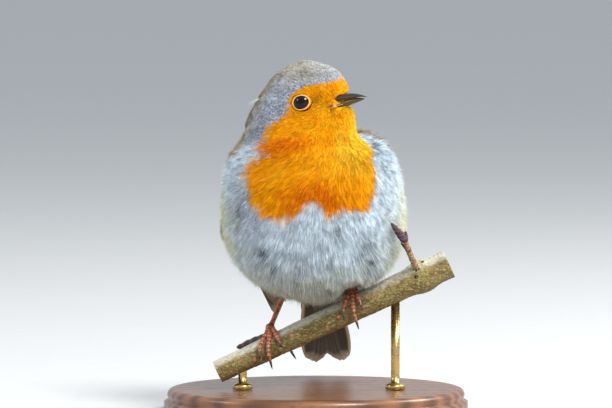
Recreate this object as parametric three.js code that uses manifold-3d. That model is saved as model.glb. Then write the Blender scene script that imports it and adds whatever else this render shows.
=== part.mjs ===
// A European robin, life size, fluffed up on a cut length of branch that a small display stand holds up.
// Units are millimetres and +Z is up. The origin is the centre of the underside of the stand's base.
// The bird looks along -Y with its head turned towards +X, its own left.

import * as THREE from "three";
import { ParametricGeometry } from "three/addons/geometries/ParametricGeometry.js";
import { mergeVertices } from "three/addons/utils/BufferGeometryUtils.js";
import Module from "manifold-3d";

const wasm = await Module();
wasm.setup();

// ---------------------------------------------------------------- driving dimensions

const GAP = 0.3; // clearance between neighbouring solids
const MIDDLE_X = -1.0; // the middle plane of the trunk

const BASE = { radius: 52, height: 8, edge: 2.2, step: 1.1 };
const ROD = { radius: 1.5, collar: 3.4, collarHeight: 2.2, left: -25, right: 27 };

const PERCH_Y = -8; // the perch's axis lies this far in front of the base's centre
const PERCH = {
  height: 29.8, // the axis above the floor, at x = 0
  slope: THREE.MathUtils.degToRad(25.1), // it climbs towards +X
  start: -37,
  end: 50,
  radius: 4.2,
  taper: 0.0125, // growth of the radius per millimetre along the axis
  node: 40, // the swelling that carries the spur
  nodeSwell: 0.9,
  nodeLength: 4,
};

const HEAD = {
  centre: new THREE.Vector3(-4.6, -8, 107),
  yaw: THREE.MathUtils.degToRad(62),
  pitch: THREE.MathUtils.degToRad(12),
};

const EYE = { radius: 3.6, forward: 4.7, side: 8.4, up: -1.5 };
const BILL = {
  drop: -3.5, // the line between its halves, below the head's centre
  base: 8.6,
  tip: 24.5,
  halfWidth: 3.3,
  tipHalfWidth: 0.32,
  narrowing: 0.85, // a power: less keeps the bill broad for longer
  blunt: 6, // powers that round off its tip and its base
  bluntBase: 12,
};
// Heights above the line between the halves: at the base, what it changes by on the way to the tip, and
// what the bend near the tip adds.
const UPPER = { culmen: 3.4, culmenFall: -1.1, culmenHook: -2.4, edge: 0.25, edgeHook: -0.45 };
const LOWER = { edge: -0.1, openness: 0.5, keel: -1.9, keelFall: -0.2, keelRise: 1.3, shorter: 0.7 };

// The cuts that part the head from the neck and the neck from the trunk.
const HEAD_CUT = { down: 8.4, lean: -0.04 };
const NECK_CUT = { point: new THREE.Vector3(MIDDLE_X, -6, 91.5), normal: new THREE.Vector3(0, -0.3, 1) };

const WING = {
  bulge: 11.6,
  thickness: 2.5,
  tipThickness: 0.55,
  thinning: 0.8, // a power: less thins it sooner
  taper: 0.62, // the share of its width lost from `taperFrom` to the tip
  taperFrom: 0.35,
  wrist: 0.72, // the share of its width at the wrist, full from `wristEnd` on
  wristEnd: 0.3,
  rounding: 7,
};
const TAIL = {
  root: new THREE.Vector3(0.4, 17, 50.8),
  tip: new THREE.Vector3(4.5, 63.5, 12.4),
  rootHalfWidth: 5.2,
  halfWidth: 9.1,
  thickness: 0.85,
  ridge: 1.1,
  notch: 5.0,
  notchWidth: 0.3, // as a share of the half width
  rounding: 4.2,
  opening: 1.15, // how soon it reaches its full width
  closing: 10, // powers that round off its end and its root
  closingRoot: 16,
};
const LEG = {
  tarsusRadius: 0.9,
  ankleRadius: 1.35,
  ankleFrom: 0.75, // the share of the tarsus below the thickening
  ballRadius: 1.75,
};
const TOE = {
  radius: 0.92,
  thinning: 0.2,
  knuckle: 0.05,
  joints: 3,
  rise: 0.7, // how far its root rises off the perch, over the first quarter
  loosening: 3.9, // how far a toe stands off by its end if it reaches past the perch's widest point
  looseFrom: 0.62,
};
const CLAW = {
  length: 4.6,
  radius: 0.62,
  tipRadius: 0.14,
  root: 1.1, // how deep it sits in the toe
  bend: 28, // degrees
  middle: 0.52,
  arch: 0.32,
  flatness: 0.5,
  pointing: 1.3,
};
const THIGH = {
  pointRadius: 2.1,
  swell: 3.4,
  fullFrom: 0.7,
  top: new THREE.Vector3(3, -6, 9), // from the ankle: outwards, forwards and up
  middle: new THREE.Vector3(0.6, -2.5, -1),
};

// ---------------------------------------------------------------- solids and meshes

/** A closed geometry as a solid facing outwards, with shared points merged and empty triangles left out. */
function solidOf(geometry) {
  const bare = geometry.clone();
  bare.deleteAttribute("normal");
  bare.deleteAttribute("uv");
  const merged = mergeVertices(bare, 1e-4);
  const corners = merged.index.array;
  const kept = [];
  for (let i = 0; i < corners.length; i += 3) {
    const [a, b, c] = [corners[i], corners[i + 1], corners[i + 2]];
    if (a !== b && b !== c && c !== a) kept.push(a, b, c);
  }
  const shared = { numProp: 3, vertProperties: merged.attributes.position.array };
  const mesh = new wasm.Mesh({ ...shared, triVerts: new Uint32Array(kept) });
  const solid = new wasm.Manifold(mesh);
  if (solid.volume() > 0) return solid;
  const turned = new wasm.Mesh({ ...shared, triVerts: new Uint32Array(kept.reverse()) });
  return new wasm.Manifold(turned);
}

/** The largest body of a solid: what a cut shaves off as loose slivers is left out. */
function largest(solid) {
  return solid.decompose().reduce((a, b) => (a.volume() > b.volume() ? a : b));
}

function colour(hex, roughness, metalness = 0) {
  return new THREE.MeshStandardMaterial({ color: hex, roughness, metalness });
}

/** Adds a solid to a group as a named mesh with its own material. */
function addMesh(group, name, solid, material) {
  const { vertProperties, triVerts } = largest(solid).getMesh();
  const geometry = new THREE.BufferGeometry();
  geometry.setAttribute("position", new THREE.BufferAttribute(vertProperties, 3));
  geometry.setIndex(new THREE.BufferAttribute(triVerts, 1));
  geometry.computeVertexNormals();
  const mesh = new THREE.Mesh(geometry, material);
  mesh.name = name;
  group.add(mesh);
}

// ---------------------------------------------------------------- curves and tubes

/** Smooth interpolation through rows of numbers, with `before` and `after` as ghost rows. */
function throughRows(rows, before, after, at) {
  const last = rows.length - 1;
  const i = Math.min(Math.floor(at), last - 1);
  const t = at - i;
  const p0 = i === 0 ? before : rows[i - 1];
  const p1 = rows[i];
  const p2 = rows[i + 1];
  const p3 = i + 2 > last ? after : rows[i + 2];
  return p1.map((value, k) => {
    const m1 = (p2[k] - p0[k]) / 2;
    const m2 = (p3[k] - value) / 2;
    const step = p2[k] - value;
    return value + t * (m1 + t * (3 * step - 2 * m1 - m2 + t * (m1 + m2 - 2 * step)));
  });
}

/** Eases from 0 at t = 0 to 1 at t = 1 and holds outside. */
function ease(t) {
  const c = Math.min(Math.max(t, 0), 1);
  return c * c * (3 - 2 * c);
}

/** A closed tube along points; radiusAt(t) gives its radius, and both ends round off to a point.
    `grow` makes it larger all round. */
function taperedTube(points, radiusAt, rings, sides, grow = 0) {
  const route = points.map((point) => point.clone());
  const last = route.length - 1;
  route[0].addScaledVector(points[0].clone().sub(points[1]).normalize(), grow);
  route[last].addScaledVector(points[last].clone().sub(points[last - 1]).normalize(), grow);
  const curve = new THREE.CatmullRomCurve3(route);
  const frames = curve.computeFrenetFrames(rings);
  const round = 8; // a high power keeps the tube full until close to its ends
  const place = (u, v, target) => {
    const ring = Math.round(v * rings);
    const angle = (u % 1) * 2 * Math.PI;
    const closing = Math.sqrt(1 - Math.abs(2 * v - 1) ** round);
    const radius = (radiusAt(v) + grow) * closing;
    target.copy(curve.getPointAt(v));
    target.addScaledVector(frames.normals[ring], -radius * Math.cos(angle));
    target.addScaledVector(frames.binormals[ring], radius * Math.sin(angle));
  };
  return solidOf(new ParametricGeometry(place, sides, rings));
}

// ---------------------------------------------------------------- body: head, neck and trunk

// Each section is an oval across the bird: its name, its shift sideways, its front and its back, its half
// width, its turn about the upright in degrees, and the powers of its front and its back half. Front and
// back are points in the bird's own middle plane: distance behind the perch, and height. A power of 2 is
// round, less is narrower and more is boxier.
const SECTIONS = [
  ["crown", -3.7, [-8, 120.2], [-8, 120.2], 0, 62, 2, 2],
  ["pate", -3.7, [-16.7, 118.4], [0.8, 116.6], 7.6, 62, 2, 2],
  ["brow", -3.7, [-21.8, 114.4], [5.8, 111.6], 10.9, 62, 1.9, 2],
  ["eye", -4.5, [-24.8, 108.7], [10.2, 105.0], 12.0, 62, 1.7, 2],
  ["chin", -5.0, [-25.2, 101.6], [14.2, 100.0], 13.8, 60, 1.8, 2],
  ["throat", -4.4, [-24.8, 94.5], [14.6, 98.2], 17.8, 48, 2, 2.1],
  ["neck", -1.1, [-26.6, 87.0], [14.2, 98.0], 23.2, 18, 2, 2.5],
  ["shoulder", -1.4, [-29, 77.5], [18.4, 93.0], 28.4, 4, 2, 2.2],
  ["breast", -1.2, [-29.6, 67], [23.0, 86.0], 30.4, 0, 2, 1.9],
  ["middle", -0.9, [-27.5, 56.5], [26.8, 78.5], 31.1, 0, 2, 1.75],
  ["belly", -0.6, [-21.5, 47], [29.6, 69.5], 29.8, 0, 2, 1.7],
  ["flank", -0.4, [-12.5, 41], [31.4, 61], 24.8, 0, 2, 1.7],
  ["vent", 0.2, [2, 37.7], [33.4, 53], 16.2, 0, 2, 1.8],
  ["coverts", 0.8, [19, 36.8], [37, 45.6], 9.0, 0, 2, 2],
  ["covert_end", 1.5, [37, 38], [37, 38], 0, 0, 2, 2],
];
const BODY_RINGS = 30;
const BODY_SIDES = 24;

// Where the worked-out rows keep the half width, the reach from front to back, and the tilt.
const HALF = 3;
const REACH = 4;
const TILT = 6;

/** The surface of the body: smooth through all its sections, from the crown to the end of the coverts. */
function bodyPlace() {
  const rows = SECTIONS.map(([, x, front, back, half, turn, snout, ridge]) => {
    const length = Math.hypot(back[0] - front[0], back[1] - front[1]);
    const tilt = Math.atan2(back[1] - front[1], back[0] - front[0]);
    const y = (front[0] + back[0]) / 2;
    const z = (front[1] + back[1]) / 2;
    return [x, y, z, half, length / 2, THREE.MathUtils.degToRad(turn), tilt, snout, ridge];
  });
  // Next to an end point the skin is the mirror of the first oval, so both ends are smooth caps.
  const mirrored = (row) => row.map((value, k) => (k === HALF || k === REACH ? -value : value));
  rows[0][TILT] = rows[1][TILT];
  rows[rows.length - 1][TILT] = rows[rows.length - 2][TILT];
  const before = mirrored(rows[1]);
  const after = mirrored(rows[rows.length - 2]);
  return (u, v, target) => {
    const row = throughRows(rows, before, after, v * (rows.length - 1));
    const [x, y, z, half, reach, turn, tilt, snout, ridge] = row;
    const angle = (u % 1) * 2 * Math.PI;
    const [cos, sin] = [Math.cos(angle), Math.sin(angle)];
    const power = 2 / (cos > 0 ? snout : ridge);
    const ahead = reach * Math.sign(cos) * Math.abs(cos) ** power;
    const aside = half * Math.sign(sin) * Math.abs(sin) ** power;
    const level = ahead * Math.cos(tilt);
    target.set(
      x + level * Math.sin(turn) + aside * Math.cos(turn),
      y - level * Math.cos(turn) + aside * Math.sin(turn),
      z - ahead * Math.sin(tilt),
    );
  };
}

// ---------------------------------------------------------------- head's own frame, eyes and bill

const AHEAD = new THREE.Vector3(
  Math.sin(HEAD.yaw) * Math.cos(HEAD.pitch),
  -Math.cos(HEAD.yaw) * Math.cos(HEAD.pitch),
  Math.sin(HEAD.pitch),
);
const ASIDE = new THREE.Vector3(-Math.cos(HEAD.yaw), -Math.sin(HEAD.yaw), 0); // the bird's right
const UPWARD = new THREE.Vector3().crossVectors(ASIDE, AHEAD);

/** A point given ahead of, to the right of and above the head's centre. */
function inHead(ahead, aside, upward) {
  return HEAD.centre
    .clone()
    .addScaledVector(AHEAD, ahead)
    .addScaledVector(ASIDE, aside)
    .addScaledVector(UPWARD, upward);
}

/** The ball of one eye; `side` is 1 on the bird's right. */
function eyeball(side, grow = 0) {
  const ball = new THREE.SphereGeometry(EYE.radius + grow, 14, 8);
  const at = inHead(EYE.forward, side * EYE.side, EYE.up);
  ball.translate(at.x, at.y, at.z);
  return solidOf(ball);
}

/** Half of the bill: an arched oval that tapers to the tip between its upper and lower edge. */
function mandible(upperEdge, lowerEdge, tip, grow = 0) {
  const place = (u, v, target) => {
    const angle = (u % 1) * 2 * Math.PI;
    const ahead = BILL.base - grow + v * (tip - BILL.base + 2 * grow);
    const end = 1 - v ** BILL.blunt;
    const start = 1 - (1 - v) ** BILL.bluntBase;
    const closing = Math.sqrt(Math.max(end * start, 0));
    const tapered = BILL.halfWidth * (1 - v) ** BILL.narrowing + BILL.tipHalfWidth;
    const halfWidth = (tapered + grow) * closing;
    const top = upperEdge(v);
    const bottom = lowerEdge(v);
    const middle = (top + bottom) / 2;
    const halfHeight = ((top - bottom) / 2 + grow) * closing;
    const upward = BILL.drop + middle + halfHeight * Math.cos(angle);
    target.copy(inHead(ahead, halfWidth * Math.sin(angle), upward));
  };
  return solidOf(new ParametricGeometry(place, 12, 9));
}

/** The culmen runs almost straight and then bends down to the tip. */
function upperMandible(grow) {
  const culmen = (v) => UPPER.culmen + UPPER.culmenFall * v + UPPER.culmenHook * v ** 4;
  const edge = (v) => UPPER.edge + UPPER.edgeHook * v ** 3;
  return mandible(culmen, edge, BILL.tip, grow);
}

/** The lower half stands a little open: its keel runs down and then up to the tip. */
function lowerMandible(grow) {
  const edge = (v) => LOWER.edge - LOWER.openness * v;
  const keel = (v) => LOWER.keel + LOWER.keelFall * v + LOWER.keelRise * v ** 3;
  return mandible(edge, keel, BILL.tip - LOWER.shorter, grow);
}

// ---------------------------------------------------------------- wings and tail

// The middle line of a folded wing from its wrist to its tip: sideways from the trunk's middle,
// behind the perch, and height.
const WING_LINE = [
  [20.6, -4, 89.0],
  [25.8, 6, 77.5],
  [24.5, 18, 63.0],
  [16.9, 28, 48.5],
  [12.8, 38, 34.0],
];
const WING_ROLL = [10, 55].map(THREE.MathUtils.degToRad); // its face turns upwards: at wrist and tip

/** A folded wing: a thin oval laid along its middle line, tapering and turning upwards to the tip. */
function wing(side, grow = 0) {
  const points = WING_LINE.map(([x, y, z]) => new THREE.Vector3(MIDDLE_X + side * x, y, z));
  const last = points.length - 1;
  points[0].addScaledVector(points[0].clone().sub(points[1]).normalize(), grow);
  points[last].addScaledVector(points[last].clone().sub(points[last - 1]).normalize(), grow);
  const curve = new THREE.CatmullRomCurve3(points);
  const out = new THREE.Vector3();
  const across = new THREE.Vector3();
  const place = (u, v, target) => {
    const angle = (u % 1) * 2 * Math.PI;
    const along = Math.min(Math.max(v, 0), 1);
    const tangent = curve.getTangentAt(along);
    out.set(side, 0, 0).addScaledVector(tangent, -side * tangent.x).normalize();
    across.crossVectors(tangent, out).multiplyScalar(-side);
    const roll = WING_ROLL[0] + (WING_ROLL[1] - WING_ROLL[0]) * ease(along);
    const closing = Math.sqrt(1 - Math.abs(2 * along - 1) ** WING.rounding);
    const taper = 1 - WING.taper * ease((along - WING.taperFrom) / (1 - WING.taperFrom));
    const wrist = WING.wrist + (1 - WING.wrist) * ease(along / WING.wristEnd);
    const halfWidth = (WING.bulge * taper * wrist + grow) * closing;
    const thinner = (WING.tipThickness - WING.thickness) * along ** WING.thinning;
    const thickness = WING.thickness + thinner;
    const halfThickness = (thickness + grow) * closing;
    const a = halfWidth * Math.cos(angle);
    const b = halfThickness * Math.sin(angle) * side;
    target.copy(curve.getPointAt(along));
    target.addScaledVector(across, a * Math.cos(roll) + b * Math.sin(roll));
    target.addScaledVector(out, b * Math.cos(roll) - a * Math.sin(roll));
  };
  return solidOf(new ParametricGeometry(place, 12, 14));
}

/** The closed tail: a thin roof with a notched end, twelve feathers laid over each other. */
function tail(grow = 0) {
  const along = TAIL.tip.clone().sub(TAIL.root);
  const length = along.length();
  along.normalize();
  const aside = new THREE.Vector3(1, 0, 0).addScaledVector(along, -along.x).normalize();
  const upward = new THREE.Vector3().crossVectors(aside, along);
  const place = (u, v, target) => {
    const angle = (u % 1) * 2 * Math.PI;
    const t = Math.cos(angle);
    const notch = TAIL.notch * Math.exp(-((t / TAIL.notchWidth) ** 2));
    const rounding = TAIL.rounding * Math.abs(t) ** 5;
    const deeper = 4 * grow;
    const reach = (length - notch - rounding + grow + deeper) * v - deeper;
    const wider = (TAIL.halfWidth - TAIL.rootHalfWidth) * ease(v * TAIL.opening);
    const widening = TAIL.rootHalfWidth + wider;
    const closing = Math.sqrt(1 - v ** TAIL.closing) * Math.sqrt(1 - (1 - v) ** TAIL.closingRoot);
    const halfThickness = (TAIL.thickness + grow) * closing;
    target.copy(TAIL.root);
    target.addScaledVector(along, reach);
    target.addScaledVector(aside, -(widening + grow) * t);
    target.addScaledVector(upward, halfThickness * Math.sin(angle) - TAIL.ridge * t * t);
  };
  return solidOf(new ParametricGeometry(place, 24, 8));
}

// ---------------------------------------------------------------- perch

/** The perch's radius: it grows slowly and swells at the node. */
function perchRadius(along) {
  const swell = PERCH.nodeSwell * Math.exp(-(((along - PERCH.node) / PERCH.nodeLength) ** 2));
  return PERCH.radius + PERCH.taper * along + swell;
}

/** A point by its distance along the perch, its angle from the top towards the front, and its distance
    from the perch's axis. */
function roundPerch(along, angle, distance) {
  const rise = distance * Math.cos(angle);
  return new THREE.Vector3(
    along * Math.cos(PERCH.slope) - rise * Math.sin(PERCH.slope),
    -distance * Math.sin(angle),
    PERCH.height + along * Math.sin(PERCH.slope) + rise * Math.cos(PERCH.slope),
  );
}

/** The cut length of branch, with a flat sawn face at either end. */
function perchBranch(grow = 0) {
  const rings = 12;
  const place = (u, v, target) => {
    // The first and last ring close the sawn ends.
    const row = Math.round(v * (rings + 2)) - 1;
    const closed = row < 0 || row > rings;
    const step = Math.min(Math.max(row, 0), rings) / rings;
    const along = PERCH.start - grow + step * (PERCH.end - PERCH.start + 2 * grow);
    const distance = closed ? 0 : perchRadius(along) + grow;
    target.copy(roundPerch(along, (u % 1) * 2 * Math.PI, distance));
  };
  return solidOf(new ParametricGeometry(place, 16, rings + 2));
}

/** A spindle-shaped bud between two points. */
function bud(from, to, radius) {
  const middle = from.clone().lerp(to, 0.5);
  return taperedTube([from, middle, to], (t) => radius * (1.05 - 0.8 * t * t), 6, 6);
}

const SPUR = {
  foot: roundPerch(PERCH.node - 0.6, 0.75, 3.4),
  bend: new THREE.Vector3(31.6, -9.5, 55.4),
  fork: new THREE.Vector3(30.0, -14.2, 60.2),
  radius: 1.15,
  forkRadius: 0.75,
};
// The spur's buds, by their foot, their tip and their radius.
const BUDS = [
  { from: [30.3, -14.0, 59.4], to: [25.3, -18.4, 66.0], radius: 1.35 },
  { from: [30.0, -14.0, 59.4], to: [30.2, -15.4, 63.0], radius: 1.0 },
  { from: [31.0, -11.0, 56.6], to: [28.6, -12.8, 58.9], radius: 0.65 },
];
const BACK_BUD = { from: roundPerch(-16, -0.5, 3.4), to: roundPerch(-28, -1.02, 8.2), radius: 1.8 };

/** The short side twig: a crooked stem in front of the flank, with one long bud and two small ones. */
function perchSpur() {
  const radiusAt = (t) => SPUR.radius + (SPUR.forkRadius - SPUR.radius) * t;
  const stem = taperedTube([SPUR.foot, SPUR.bend, SPUR.fork], radiusAt, 8, 6);
  const grown = ({ from, to, radius }) => bud(new THREE.Vector3(...from), new THREE.Vector3(...to), radius);
  return BUDS.reduce((solid, one) => solid.add(grown(one)), stem);
}

/** The bud that stands off the back of the perch. */
function perchBud() {
  return bud(BACK_BUD.from, BACK_BUD.to, BACK_BUD.radius);
}

// ---------------------------------------------------------------- legs

// Each foot by where it stands along the perch. A toe runs from the ball round the perch: `to` is how
// far along the perch its end lies, from the ball, and `wrap` how far round it reaches, in degrees from
// the top. The hind toe goes round the back. `curl` pulls the claw back to the perch.
const FEET = [
  {
    name: "right",
    side: -1,
    ball: -14.4,
    toes: [
      { name: "inner", from: 0.8, to: 1.0, wrap: 78, droop: -6 },
      { name: "middle", from: -0.3, to: -4.6, wrap: 122, droop: 30 },
      { name: "outer", from: -1.2, to: -6.6, wrap: 84, droop: 6 },
      { name: "hind", from: 0.1, to: 3.0, wrap: -132, droop: 26 },
    ],
    ankle: new THREE.Vector3(-6.4, 12.5, 50.5),
    bare: 0.3, // the share of the tarsus that shows below the thigh's feathers
  },
  {
    name: "left",
    side: 1,
    ball: 16.6,
    toes: [
      { name: "inner", from: -0.9, to: -6.0, wrap: 82, droop: 6 },
      { name: "middle", from: -0.2, to: -3.4, wrap: 122, droop: 30 },
      { name: "outer", from: 0.9, to: 0.4, wrap: 78, droop: -4 },
      { name: "hind", from: 0.1, to: 1.8, wrap: -112, droop: -10 },
    ],
    ankle: new THREE.Vector3(6.8, 12.5, 60.5),
    bare: 0.02,
  },
];

/** The middle line of a toe, a fraction `t` of the way to its end. */
function toePoint(foot, toe, t, lift = 0) {
  const along = foot.ball + toe.from + (toe.to - toe.from) * ease(t * 0.9);
  const angle = THREE.MathUtils.degToRad(toe.wrap * t);
  const hug = perchRadius(along) + TOE.radius + GAP;
  const past = Math.max(0, Math.abs(toe.wrap) / 90 - 1);
  const loosening = TOE.loosening * past * ease((t - TOE.looseFrom) / (1 - TOE.looseFrom));
  const rise = TOE.rise * (1 - ease(t * 4));
  return roundPerch(along, angle, hug + rise + loosening + lift);
}

/** A toe thins towards its claw and swells at its knuckles. */
function toeSolid(foot, toe, grow = 0) {
  const points = [0, 0.2, 0.4, 0.6, 0.8, 1].map((t) => toePoint(foot, toe, t));
  const radiusAt = (t) => {
    const knuckles = 1 + TOE.knuckle * (Math.cos(2 * Math.PI * TOE.joints * t) - 0.6);
    return TOE.radius * (1 - TOE.thinning * t) * knuckles;
  };
  return taperedTube(points, radiusAt, 8, 6, grow);
}

/** A claw curves on from its toe: it goes on in the toe's direction and turns by `droop`. */
function clawSolid(foot, toe, grow = 0) {
  const end = toePoint(foot, toe, 1);
  const heading = end.clone().sub(toePoint(foot, toe, 0.92)).normalize();
  const outwards = toePoint(foot, toe, 1, 1).sub(end);
  const start = end.clone().addScaledVector(heading, -CLAW.root);
  const inner = THREE.MathUtils.degToRad(CLAW.bend - toe.droop);
  const middle = start
    .clone()
    .addScaledVector(heading, CLAW.length * CLAW.middle)
    .addScaledVector(outwards, CLAW.arch);
  const tip = start
    .clone()
    .addScaledVector(heading, CLAW.length * Math.cos(inner))
    .addScaledVector(outwards, -CLAW.length * CLAW.flatness * Math.sin(inner));
  const radiusAt = (t) => CLAW.radius + (CLAW.tipRadius - CLAW.radius) * t ** CLAW.pointing;
  return taperedTube([start, middle, tip], radiusAt, 5, 6, grow);
}

function footBall(foot) {
  return roundPerch(foot.ball, 0, perchRadius(foot.ball) + LEG.ballRadius + GAP);
}

/** The ball of the foot and its four toes, in one piece. */
function footSolid(foot, grow = 0) {
  const ball = new THREE.SphereGeometry(LEG.ballRadius + grow, 9, 6);
  const at = footBall(foot);
  ball.translate(at.x, at.y, at.z);
  return foot.toes.reduce((solid, toe) => solid.add(toeSolid(foot, toe, grow)), solidOf(ball));
}

/** The bare lower leg, thicker at the ankle under the feathers. */
function tarsusSolid(foot, grow = 0) {
  const low = footBall(foot);
  const up = foot.ankle;
  const points = [low, low.clone().lerp(up, 0.5), up];
  const radiusAt = (t) => {
    const share = ease((t - LEG.ankleFrom) / (1 - LEG.ankleFrom));
    return LEG.tarsusRadius + (LEG.ankleRadius - LEG.tarsusRadius) * share;
  };
  return taperedTube(points, radiusAt, 6, 8, grow);
}

/** The feathered thigh: a soft cone whose point rings the top of the bare leg. */
function thighSolid(foot, grow = 0) {
  const low = footBall(foot);
  const bottom = low.clone().lerp(foot.ankle, foot.bare);
  const outwards = new THREE.Vector3(foot.side, 1, 1);
  const top = foot.ankle.clone().add(THIGH.top.clone().multiply(outwards));
  const middle = foot.ankle.clone().add(THIGH.middle.clone().multiply(outwards));
  const radiusAt = (t) => THIGH.pointRadius + THIGH.swell * ease(t / THIGH.fullFrom);
  return taperedTube([bottom, middle, top], radiusAt, 7, 8, grow);
}

// ---------------------------------------------------------------- stand

/** The round base: a plinth with a small step half way up and a rounded upper edge. */
function standBase() {
  const { radius, height, edge, step } = BASE;
  const profile = new THREE.Path();
  profile.moveTo(0, 0);
  profile.lineTo(radius - step, 0);
  profile.lineTo(radius, step);
  profile.lineTo(radius, height / 2);
  profile.lineTo(radius - step, height / 2 + step / 2);
  profile.absarc(radius - step - edge, height - edge, edge, 0, Math.PI / 2, false);
  profile.lineTo(0, height);
  const base = new THREE.LatheGeometry(profile.getPoints(2), 36);
  base.rotateX(Math.PI / 2);
  return solidOf(base);
}

/** A rod with a collar at its foot; its top is hollowed to fit the underside of the perch. */
function standRod(x) {
  const up = PERCH.height + x * Math.tan(PERCH.slope);
  const profile = [
    [0, 0],
    [ROD.collar, 0],
    [ROD.collar, ROD.collarHeight * 0.6],
    [ROD.radius + 0.4, ROD.collarHeight],
    [ROD.radius, ROD.collarHeight],
    [ROD.radius, up - BASE.height],
    [0, up - BASE.height],
  ].map(([r, z]) => new THREE.Vector2(r, z));
  const rod = new THREE.LatheGeometry(profile, 14);
  rod.rotateX(Math.PI / 2);
  rod.translate(x, 0, BASE.height + GAP);
  return solidOf(rod).subtract(perchBranch(GAP));
}

// ---------------------------------------------------------------- assembly

/** Parts a solid by a plane into what lies above it and below it, with the gap between them. */
function partByPlane(solid, point, normal) {
  const n = normal.clone().normalize();
  const offset = n.dot(point);
  const above = solid.trimByPlane(n.toArray(), offset + GAP / 2);
  const below = solid.trimByPlane(n.clone().negate().toArray(), -(offset - GAP / 2));
  return [above, below];
}

const robin = new THREE.Group();
const onPerch = new THREE.Group();
onPerch.position.y = PERCH_Y;
robin.add(onPerch);

const body = solidOf(new ParametricGeometry(bodyPlace(), BODY_SIDES, BODY_RINGS));
const headCut = UPWARD.clone().addScaledVector(AHEAD, HEAD_CUT.lean);
const [head, rest] = partByPlane(body, inHead(0, 0, -HEAD_CUT.down), headCut);
const [neck, trunk] = partByPlane(rest, NECK_CUT.point, NECK_CUT.normal);

const SIDES = [
  { name: "left", side: 1 },
  { name: "right", side: -1 },
];
const wings = SIDES.map(({ side }) => wing(side, GAP));
const trunkCuts = [...wings, tail(2 * GAP)];
trunkCuts.push(...FEET.map((foot) => thighSolid(foot, GAP)));
trunkCuts.push(...FEET.map((foot) => tarsusSolid(foot, GAP)), ...FEET.map((foot) => footSolid(foot, GAP)));
const headCuts = [upperMandible(GAP), lowerMandible(GAP), eyeball(1, GAP), eyeball(-1, GAP)];

const cutFrom = (solid, cuts) => cuts.reduce((left, cut) => left.subtract(cut), solid);
addMesh(onPerch, "head", cutFrom(head, headCuts), colour(0xe08a1e, 0.9));
addMesh(onPerch, "neck", cutFrom(neck, wings), colour(0xe39420, 0.9));
addMesh(onPerch, "trunk", cutFrom(trunk, trunkCuts), colour(0xc9d0d6, 0.9));
addMesh(onPerch, "tail", tail(), colour(0x6b5f52, 0.8));
addMesh(onPerch, "bill_upper", upperMandible().subtract(lowerMandible(GAP)), colour(0x2c2724, 0.3));
addMesh(onPerch, "bill_lower", lowerMandible(), colour(0x3a2e26, 0.35));
for (const { name, side } of SIDES) {
  addMesh(onPerch, `eye_${name}`, eyeball(-side), colour(0x0b0908, 0.05));
  addMesh(onPerch, `wing_${name}`, wing(side), colour(0x8d7355, 0.85));
}
for (const foot of FEET) {
  const claws = foot.toes.map((toe) => clawSolid(foot, toe, GAP));
  const tarsus = tarsusSolid(foot).subtract(footSolid(foot, GAP));
  const thigh = cutFrom(thighSolid(foot), [tarsusSolid(foot, GAP), footSolid(foot, GAP)]);
  addMesh(onPerch, `thigh_${foot.name}`, thigh, colour(0xb9b69c, 0.9));
  addMesh(onPerch, `tarsus_${foot.name}`, tarsus, colour(0x9c5a35, 0.5));
  addMesh(onPerch, `foot_${foot.name}`, cutFrom(footSolid(foot), claws), colour(0xa0603a, 0.5));
  for (const toe of foot.toes) {
    addMesh(onPerch, `claw_${foot.name}_${toe.name}`, clawSolid(foot, toe), colour(0x2e2622, 0.35));
  }
}
const branch = perchBranch();
addMesh(onPerch, "perch_branch", branch, colour(0x8b7f62, 0.85));
addMesh(onPerch, "perch_spur", perchSpur().subtract(perchBranch(GAP)), colour(0x4a3a34, 0.8));
addMesh(onPerch, "perch_bud", perchBud().subtract(perchBranch(GAP)), colour(0x6d6470, 0.7));
addMesh(onPerch, "stand_rod_left", standRod(ROD.left), colour(0xb9a26a, 0.3, 1));
addMesh(onPerch, "stand_rod_right", standRod(ROD.right), colour(0xb9a26a, 0.3, 1));
addMesh(robin, "stand_base", standBase(), colour(0x5a3d28, 0.5));

export default robin;
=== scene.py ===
import math

import bpy
import numpy as np
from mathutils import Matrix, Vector


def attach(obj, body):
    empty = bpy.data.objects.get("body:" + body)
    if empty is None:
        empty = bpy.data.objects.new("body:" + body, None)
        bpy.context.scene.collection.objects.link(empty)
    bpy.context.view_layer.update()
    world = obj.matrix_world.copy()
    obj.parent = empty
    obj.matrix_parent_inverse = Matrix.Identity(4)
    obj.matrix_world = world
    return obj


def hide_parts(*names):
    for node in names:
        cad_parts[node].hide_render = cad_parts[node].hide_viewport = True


# A European robin, life size, fluffed up on a cut length of branch over a small display stand.
# Shapes are worked out in millimetres in the perch's frame: +Z is up, the bird's breast faces -Y,
# and Y is 0 on the perch's axis. make_piece() moves them to the shared frame, in metres.

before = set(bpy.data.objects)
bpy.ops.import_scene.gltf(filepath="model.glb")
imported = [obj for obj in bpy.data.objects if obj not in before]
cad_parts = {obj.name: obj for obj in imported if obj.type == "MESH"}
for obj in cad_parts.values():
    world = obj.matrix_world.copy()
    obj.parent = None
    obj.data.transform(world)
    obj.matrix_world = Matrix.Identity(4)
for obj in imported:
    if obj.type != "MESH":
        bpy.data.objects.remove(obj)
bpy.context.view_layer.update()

MM = 0.001
GAP = 0.3  # clearance between the foot and the branch, and under the rods
PERCH_Y = -8.0
MIDDLE_X = -1.0  # the bird's middle plane

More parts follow.
